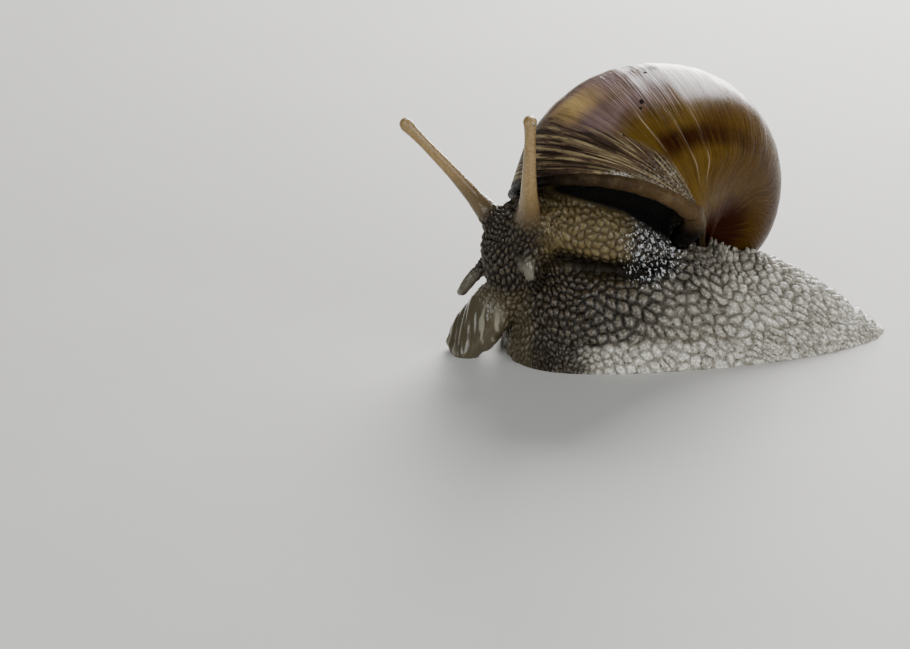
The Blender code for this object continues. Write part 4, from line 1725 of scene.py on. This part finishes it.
    def zones(self, points: Array) -> dict[Zone, Array]:
        """Work out where each finish lies.

        Args:
            points: the skin's points in millimetres.

        Returns:
            A number from 0 to 1 for each zone and point.
        """
        x, y, z = points.T
        # above: height over the painted shade's edge
        above = z - np.interp(x, *np.transpose(self.lip_shadow_edge)) + 0.2 * (y + 6.0)
        gap, along = self.near(points, smooth_path(self.form.lobe, self.zone_steps))
        drift = np.sin(x * 0.45 + 1.0) * 0.8 + np.sin(x * 1.1) * 0.35
        fold = smooth_path(self.form.fold, self.zone_steps)
        crease = np.min([np.linalg.norm(points - place, axis=1) for place in fold], axis=0)
        wet = np.linalg.norm((points - self.wet_middle) / self.wet_size, axis=1)
        pale_and_lit_flank = step(-22.0, 25.0, x + 1.6 * (6.0 - z) + 2 * drift)
        pale_fringe = step(5.2, 3.6, z + 0.3 * drift) * step(-18.0, -8.0, x)
        high = step(11.0, 18.0, z + 0.22 * (x + 8.0))
        feelers, lips = self.feeler_shares(points)
        return {
            # paler towards the tail and lower down: partly the skin's own paleness, partly painted
            # light
            Zone.PALE_AND_LIT: np.maximum(pale_and_lit_flank, pale_fringe) * step(-20.0, -8.0, x),
            # paler upper neck: partly its own paler tubercles, partly painted light that fades
            # downwards
            Zone.PALE_LIT_NECK: high * step(-21.0, -17.5, x) * step(5.0, -6.0, x),
            Zone.FEELER: feelers,
            Zone.LIP_FEELER: lips,
            # painted shade under the shell's lip, over the dark mantle
            Zone.MANTLE_AND_SHADE: step(-0.9, 0.5, above) * step(-17.5, -16.0, x) * step(5.0, 1.0, x),
            # painted shade in the crease under the neck, which is also pressed in
            Zone.SHADED_FOLD: step(3.0, 0.5, crease),
            Zone.WET: step(2.2, 0.3, wet),
            Zone.LOBE: step(0.15, 0.40, along) * step(1.7, 1.25, gap) * step(-23.0, -25.5, x),
        }

    def grooved(self, points: Array) -> Array:
        """Find the groove above the fringe, which waves up and down.

        Args:
            points: places in millimetres.

        Returns:
            1 in the groove and 0 elsewhere.
        """
        x, _, z = points.T
        middle = self.groove_height + 0.5 * np.sin(x * 0.35) + 0.25 * np.sin(x * 1.3)
        return np.exp(-((z - middle) / self.groove_width) ** 2) * step(-20.0, -16.0, x)

    def dressed(self, body: bpy.types.Object) -> None:
        """Raise the tubercles, press the fringe's groove and keep the zones' numbers.

        Args:
            body: the skin, in the animal's own plan. It ends up over the origin.
        """
        mesh = body.data
        points = read_points(mesh) / MM
        normals = read_points(mesh, "normal")
        area = self.point_areas(mesh)
        sole = points[:, 2] < self.sole_height
        zones = self.zones(points)
        tubercles = Tubercles()
        inside, tone = tubercles.cells(points, np.where(sole, area * self.sole_share, area))
        zones[Zone.CELL], zones[Zone.TONE] = inside, tone
        rough = 1 - np.clip(zones[Zone.FEELER] + zones[Zone.LIP_FEELER] * 0.8
                            + zones[Zone.MANTLE_AND_SHADE] + zones[Zone.LOBE], 0, 1)
        lift = tubercles.lift(points, inside, tone) * rough * step(0.0, 1.2, points[:, 2])
        lift = lift - self.groove_depth * self.grooved(points) * (1 - zones[Zone.LOBE])
        lift = lift + zones[Zone.LOBE] * self.lobe_folds(points) + self.wrinkles(points) * rough
        lift = lift - self.fold_depth * zones[Zone.SHADED_FOLD]
        points = points + normals * (lift * ~sole)[:, None]
        points[:, 2] = np.maximum(points[:, 2], 0.0)
        write_points(mesh, (points - PLAN_CENTRE) * MM)
        for zone, numbers in zones.items():
            layer = mesh.attributes.new(zone.value, "FLOAT", "POINT")
            layer.data.foreach_set("value", numbers.astype(np.float32))

    def build(self) -> bpy.types.Object:
        """Make the skin, smooth-shaded and dressed.

        Returns:
            The skin over the origin, with its material.
        """
        body = self.joined()
        self.cut(body)
        self.dressed(body)
        body.data.shade_smooth()
        body.data.set_sharp_from_angle(angle=self.sharp_angle)
        body.data.materials.clear()
        body.data.materials.append(SkinFinish().material())
        return body


@dataclass(frozen=True)
class SkinFinish:
    """Moist skin: dark olive head, paler tubercles on the neck, grey foot and pale tail."""

    face: Colour = (0.080, 0.047, 0.016)
    # paler: partly the neck's own tubercles, partly painted light
    neck: Colour = (0.175, 0.132, 0.052)
    flank: Colour = (0.080, 0.066, 0.044)
    # pale: partly the tail's own colour, partly painted light
    tail: Colour = (0.90, 0.87, 0.76)
    feeler: Colour = (0.33, 0.225, 0.10)
    feeler_root: Colour = (0.14, 0.095, 0.045)
    lip_feeler: Colour = (0.155, 0.138, 0.102)
    # near black: the dark mantle and painted shade under the shell's lip
    mantle: Colour = (0.0010, 0.0007, 0.0005)
    lobe: Colour = (0.075, 0.062, 0.035)
    # painted highlight streaks on the front lobe
    lobe_highlight: Colour = (0.26, 0.24, 0.18)
    # near black: painted shade in the furrows and the fold, also mixed into darker cells
    furrow: Colour = (0.0035, 0.002, 0.001)
    pale_furrow: Colour = (0.085, 0.072, 0.050)
    neck_furrow: Colour = (0.045, 0.030, 0.012)
    # lighter front rim of the foot: partly its own colour, partly painted light
    painted_light_rim: Colour = (0.17, 0.15, 0.10)
    # painted glints: pale specks standing for wet highlights
    painted_glint: Colour = (0.62, 0.64, 0.66)
    painted_light_rim_along: Ramp = (-0.0190, -0.0215)     # m
    painted_light_rim_up: Ramp = (0.0125, 0.0100)          # m
    feeler_up: Ramp = (0.0240, 0.0305)       # m
    cloud_scale: float = 260.0
    grain_scale: float = 3200.0
    knob_scale: float = 2100.0
    glint_speck_scale: float = 3000.0
    crinkle_scale: float = 1100.0
    relief_depth: float = 0.00016
    coat_roughness: float = 0.09
    refraction: float = 1.38
    specular: float = 0.2

    def material(self) -> bpy.types.Material:
        """Build the material from the zones and from fine noise in Object coordinates.

        Returns:
            The material.
        """
        sh = Shader("moist_skin")
        place = sh.place()
        cell, tone, pale, neck, feeler, lip, mantle, lobe, fold, wet = (
            sh.attribute(zone.value) for zone in Zone)
        along, side, up = sh.parts(place)
        cloud = sh.noise(place, self.cloud_scale, 3.0)
        grain = sh.noise(place, self.grain_scale)
        knobs = sh.knobs(place, self.knob_scale)
        # painted glints: specks thickest on the wet patch
        slanted = sh.joined(along + up * 0.35, side, up * 0.45)
        glint_specks = (sh.noise(slanted, self.glint_speck_scale, 1.0) + wet * 0.15).rise(0.65, 0.72)
        crinkle = sh.noise(sh.joined(along * 0.7, side, up * 1.2), self.crinkle_scale, 3.0)
        # painted highlight: pale streaks along the front lobe stand for its wet sheen
        across = along * 0.64 - side * 0.768
        folds = sh.joined(across * 900, up * 200 + across * 150, side * 100)
        highlight_streak = sh.noise(folds, 1.0).rise(0.53, 0.66)
        pitted = knobs.rise(0.30, 0.60)
        bare = (1 - feeler) * (1 - mantle) * (1 - lobe)
        # painted light: the foot's front rim is lighter, partly its own paler skin
        painted_light_rim = along.rise(*self.painted_light_rim_along) * up.rise(*self.painted_light_rim_up)
        # painted shade: the skin darkens towards the furrows between tubercles
        furrow_shade = cell.rise(0.46, 0.02) * bare * (1 - lip * 0.6)
        furrow = sh.layered(
            sh.blend(pale.rise(0.10, 0.70), self.furrow, self.pale_furrow),
            ((neck * 0.8).math("MAXIMUM", painted_light_rim), self.neck_furrow))
        feeler_colour = sh.layered(
            sh.blend(up.rise(*self.feeler_up), self.feeler_root, self.feeler),
            (pitted * 0.35, self.feeler_root))
        colour = sh.layered(
            # paler neck: partly its own colour, partly painted light
            sh.blend(neck * (1 - tone * 0.35), self.face, self.neck),
            ((1 - neck) * (1 - pale) * 0.7, self.flank),
            # pale tail, fringe and lower flank: partly their own colour, partly painted light
            (pale + (cloud - 0.5) * 0.25, self.tail),
            (painted_light_rim * 0.8, self.painted_light_rim),
            ((tone * 0.25 + pitted * 0.45) * bare * (1 - neck * 0.4), furrow),
            # painted shade in the furrows
            (furrow_shade * (0.95 - pale * 0.30 - neck * 0.25), furrow),
            (lip, self.lip_feeler),
            (feeler, feeler_colour),
            # painted shade in the fold under the neck
            (fold * 0.9, self.furrow),
            (wet.rise(0.35, 0.85) * 0.6, self.furrow),
            # painted glints on the cells' tops in the wet patch
            (glint_specks * cell.rise(0.05, 0.30) * wet.rise(0.12, 0.40), self.painted_glint),
            # painted shade under the shell's lip, over the dark mantle
            (mantle, self.mantle),
            # front lobe, with painted highlight streaks
            (lobe, sh.blend(highlight_streak, self.lobe, self.lobe_highlight)))
        rough = (0.35 + (grain - 0.5) * 0.5 + furrow_shade * 0.1 - lobe * 0.22 - lip * 0.14
                 - wet * 0.20 + mantle * 0.4)
        relief = ((1 - knobs) * (0.60 - lobe * 0.45) + grain * 0.35
                  + (wet + lip * 0.4) * grain * 5.0 + crinkle * pale * bare * 1.2)
        coat = (0.42 + wet * 0.58 + lobe * 0.3 + lip * 0.4) * (1 - mantle) * (1 - fold)
        coat = coat * (1 - furrow_shade * 0.7)
        return sh.finish({"Base Color": colour, "Roughness": rough,
                          "Normal": sh.bump(relief, self.relief_depth),
                          "Coat Weight": coat, "Coat Roughness": self.coat_roughness,
                          "IOR": self.refraction, "Specular IOR Level": self.specular})


# ------------------------------------------------------------------ eyes
@dataclass(frozen=True)
class EyeFinish:
    """Glossy near-black eye with a faint brown ring."""

    black: Colour = (0.006, 0.006, 0.008)
    brown: Colour = (0.030, 0.018, 0.010)
    cloud_scale: float = 3000.0
    coat_roughness: float = 0.04

    def material(self) -> bpy.types.Material:
        """Build the material.

        Returns:
            The material.
        """
        sh = Shader("eye_gloss")
        cloud = sh.noise(sh.place(), self.cloud_scale)
        colour = sh.blend(cloud.rise(0.45, 0.65), self.black, self.brown)
        return sh.finish({"Base Color": colour, "Roughness": 0.10 + cloud * 0.08,
                          "Coat Weight": 1.0, "Coat Roughness": self.coat_roughness})


# ------------------------------------------------------------------ studio
@dataclass(frozen=True)
class Lamp:
    """A square soft light."""

    name: str
    azimuth: float          # degrees round the animal, 0 in front of its left side
    elevation: float
    distance: float
    size: float
    power: float
    colour: Colour = (1.0, 1.0, 1.0)


@dataclass
class Studio:
    """Camera, floor and lights."""

    aim: Place = (-0.0307, -0.0010, 0.0028)
    azimuth: float = -8.5
    elevation: float = 20.0
    distance: float = 0.550
    lens: float = 134.5
    sensor: float = 36.0
    near_clip: float = 0.01
    far_clip: float = 20.0
    middle: Place = (0.0, 0.0, 0.018)
    floor_size: float = 4.0
    floor_points: int = 9
    floor_height: float = -0.00002
    floor_noise: float = 30.0
    floor_shade: float = 0.97
    floor_rough: float = 0.7
    floor_colour: Colour = (0.60, 0.59, 0.56)
    world_colour: Colour = (0.55, 0.57, 0.58)
    world_strength: float = 0.24
    lamps: tuple[Lamp, ...] = (
        Lamp("back", 160.0, 7.0, 0.75, 0.28, 6.5, (1.0, 0.98, 0.94)),
        Lamp("top", 150.0, 36.0, 0.55, 0.30, 5.4),
        Lamp("side", 38.0, 20.0, 0.60, 0.34, 2.0),
        Lamp("fill", -40.0, 30.0, 0.70, 0.40, 2.3, (0.94, 0.97, 1.0)),
    )

    @staticmethod
    def aim_from(obj: bpy.types.Object, target: Sequence[float], azimuth: float, elevation: float,
                 distance: float) -> None:
        """Set an object down round a target and turn it to look at it.

        Args:
            obj: a camera or a lamp.
            target: the place to look at, in metres.
            azimuth: degrees round the target, 0 in front of the animal's left side.
            elevation: degrees above the target.
            distance: metres from it.
        """
        turn, rise = math.radians(azimuth), math.radians(elevation)
        out = Vector((math.sin(turn) * math.cos(rise), -math.cos(turn) * math.cos(rise),
                      math.sin(rise)))
        obj.location = Vector(target) + out * distance
        obj.rotation_euler = (-out).to_track_quat("-Z", "Y").to_euler()

    def camera(self) -> bpy.types.Object:
        """Place the camera and make it the scene's.

        Returns:
            The camera.
        """
        data = bpy.data.cameras.new("camera")
        data.lens, data.sensor_width = self.lens, self.sensor
        data.clip_start, data.clip_end = self.near_clip, self.far_clip
        obj = linked("camera", data)
        self.aim_from(obj, self.aim, self.azimuth, self.elevation, self.distance)
        bpy.context.scene.camera = obj
        return obj

    def lights(self) -> None:
        """Place the lamps round the middle of the animal and set the sky."""
        for lamp in self.lamps:
            data = bpy.data.lights.new(lamp.name, "AREA")
            data.size, data.energy, data.color = lamp.size, lamp.power, lamp.colour
            obj = linked(lamp.name, data)
            self.aim_from(obj, self.middle, lamp.azimuth, lamp.elevation, lamp.distance)
        world = bpy.data.worlds.new("sky")
        bpy.context.scene.world = world
        world.use_nodes = True
        background = world.node_tree.nodes["Background"]
        background.inputs["Color"].default_value = (*self.world_colour, 1.0)
        background.inputs["Strength"].default_value = self.world_strength

    def floor(self) -> bpy.types.Object:
        """Lay a plain pale floor just under the sole.

        Returns:
            The floor.
        """
        half = self.floor_size / 2
        grid = np.linspace(-half, half, self.floor_points)
        x, y = np.meshgrid(grid, grid, indexing="ij")
        index = np.arange(x.size).reshape(x.shape)
        points = np.stack([x, y, np.full_like(x, self.floor_height)], axis=-1).reshape(-1, 3)
        obj = Surface(points, [grid_corners(index)]).build("floor", 1.0)
        sh = Shader("floor_plain")
        darker = tuple(self.floor_shade * part for part in self.floor_colour)
        cloud = sh.noise(sh.place(), self.floor_noise)
        colour = sh.blend(cloud.rise(0.3, 0.7), self.floor_colour, darker)
        obj.data.materials.append(sh.finish({"Base Color": colour, "Roughness": self.floor_rough}))
        return obj


# ------------------------------------------------------------------ the animal
def smooth_piece(surface: Surface, name: str, material: bpy.types.Material) -> bpy.types.Object:
    """Build a closed surface as a smooth piece with a material.

    Args:
        surface: the closed surface.
        name: the piece's name.
        material: its material.

    Returns:
        The piece.
    """
    obj = surface.build(name)
    point_outwards(obj)
    obj.data.shade_smooth()
    obj.data.materials.append(material)
    return obj


class Snail:
    """The whole animal: shell, skin and eyes."""

    FLESH = ("head", "mouth", "neck", "mantle", "foot_front", "foot_middle", "tail",
             "eye_feeler_left", "eye_feeler_right", "lip_feeler_left", "lip_feeler_right")

    def __init__(self) -> None:
        """Set out the forms."""
        self.shell = ShellMesh(ShellForm())
        self.flesh = FleshForm()

    def build_shell(self) -> bpy.types.Object:
        """Build the shell in place of its solid.

        Returns:
            The shell.
        """
        obj = smooth_piece(self.shell.surface(), "shell_coil", ShellFinish().material())
        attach(obj, "root")
        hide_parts("shell")
        return obj

    def build_lip(self) -> bpy.types.Object:
        """Build the rolled lip along the shell's edge.

        Returns:
            The lip.
        """
        roll = self.shell.roll()
        surface = Surface(roll.points - PLAN_CENTRE, roll.faces)
        obj = smooth_piece(surface, "shell_lip", RollFinish().material())
        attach(obj, "root")
        return obj

    def build_skin(self) -> bpy.types.Object:
        """Build the skin in place of the flesh's solids.

        Returns:
            The skin.
        """
        obj = Skin(self.flesh, self.shell).build()
        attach(obj, "root")
        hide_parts(*self.FLESH)
        return obj

    def dress_eyes(self) -> None:
        """Give the eyes' solids their gloss."""
        material = EyeFinish().material()
        for name in ("eye_left", "eye_right"):
            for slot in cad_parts[name].material_slots:
                slot.material = material


def report(obj: bpy.types.Object) -> None:
    """Log a piece's size and triangle count.

    Args:
        obj: the piece.
    """
    mesh = obj.data
    triangles = sum(len(face.vertices) - 2 for face in mesh.polygons)
    size = [round(side / MM, 1) for side in obj.dimensions]
    LOG.info("%s: %d triangles, %s mm", obj.name, triangles, size)


def main() -> None:
    """Build the animal and the studio."""
    logging.basicConfig(level=logging.INFO, format="%(name)s %(message)s")
    snail = Snail()
    report(snail.build_shell())
    report(snail.build_lip())
    report(snail.build_skin())
    snail.dress_eyes()
    studio = Studio()
    report(studio.floor())
    studio.camera()
    studio.lights()


if __name__ == "__main__":
    main()
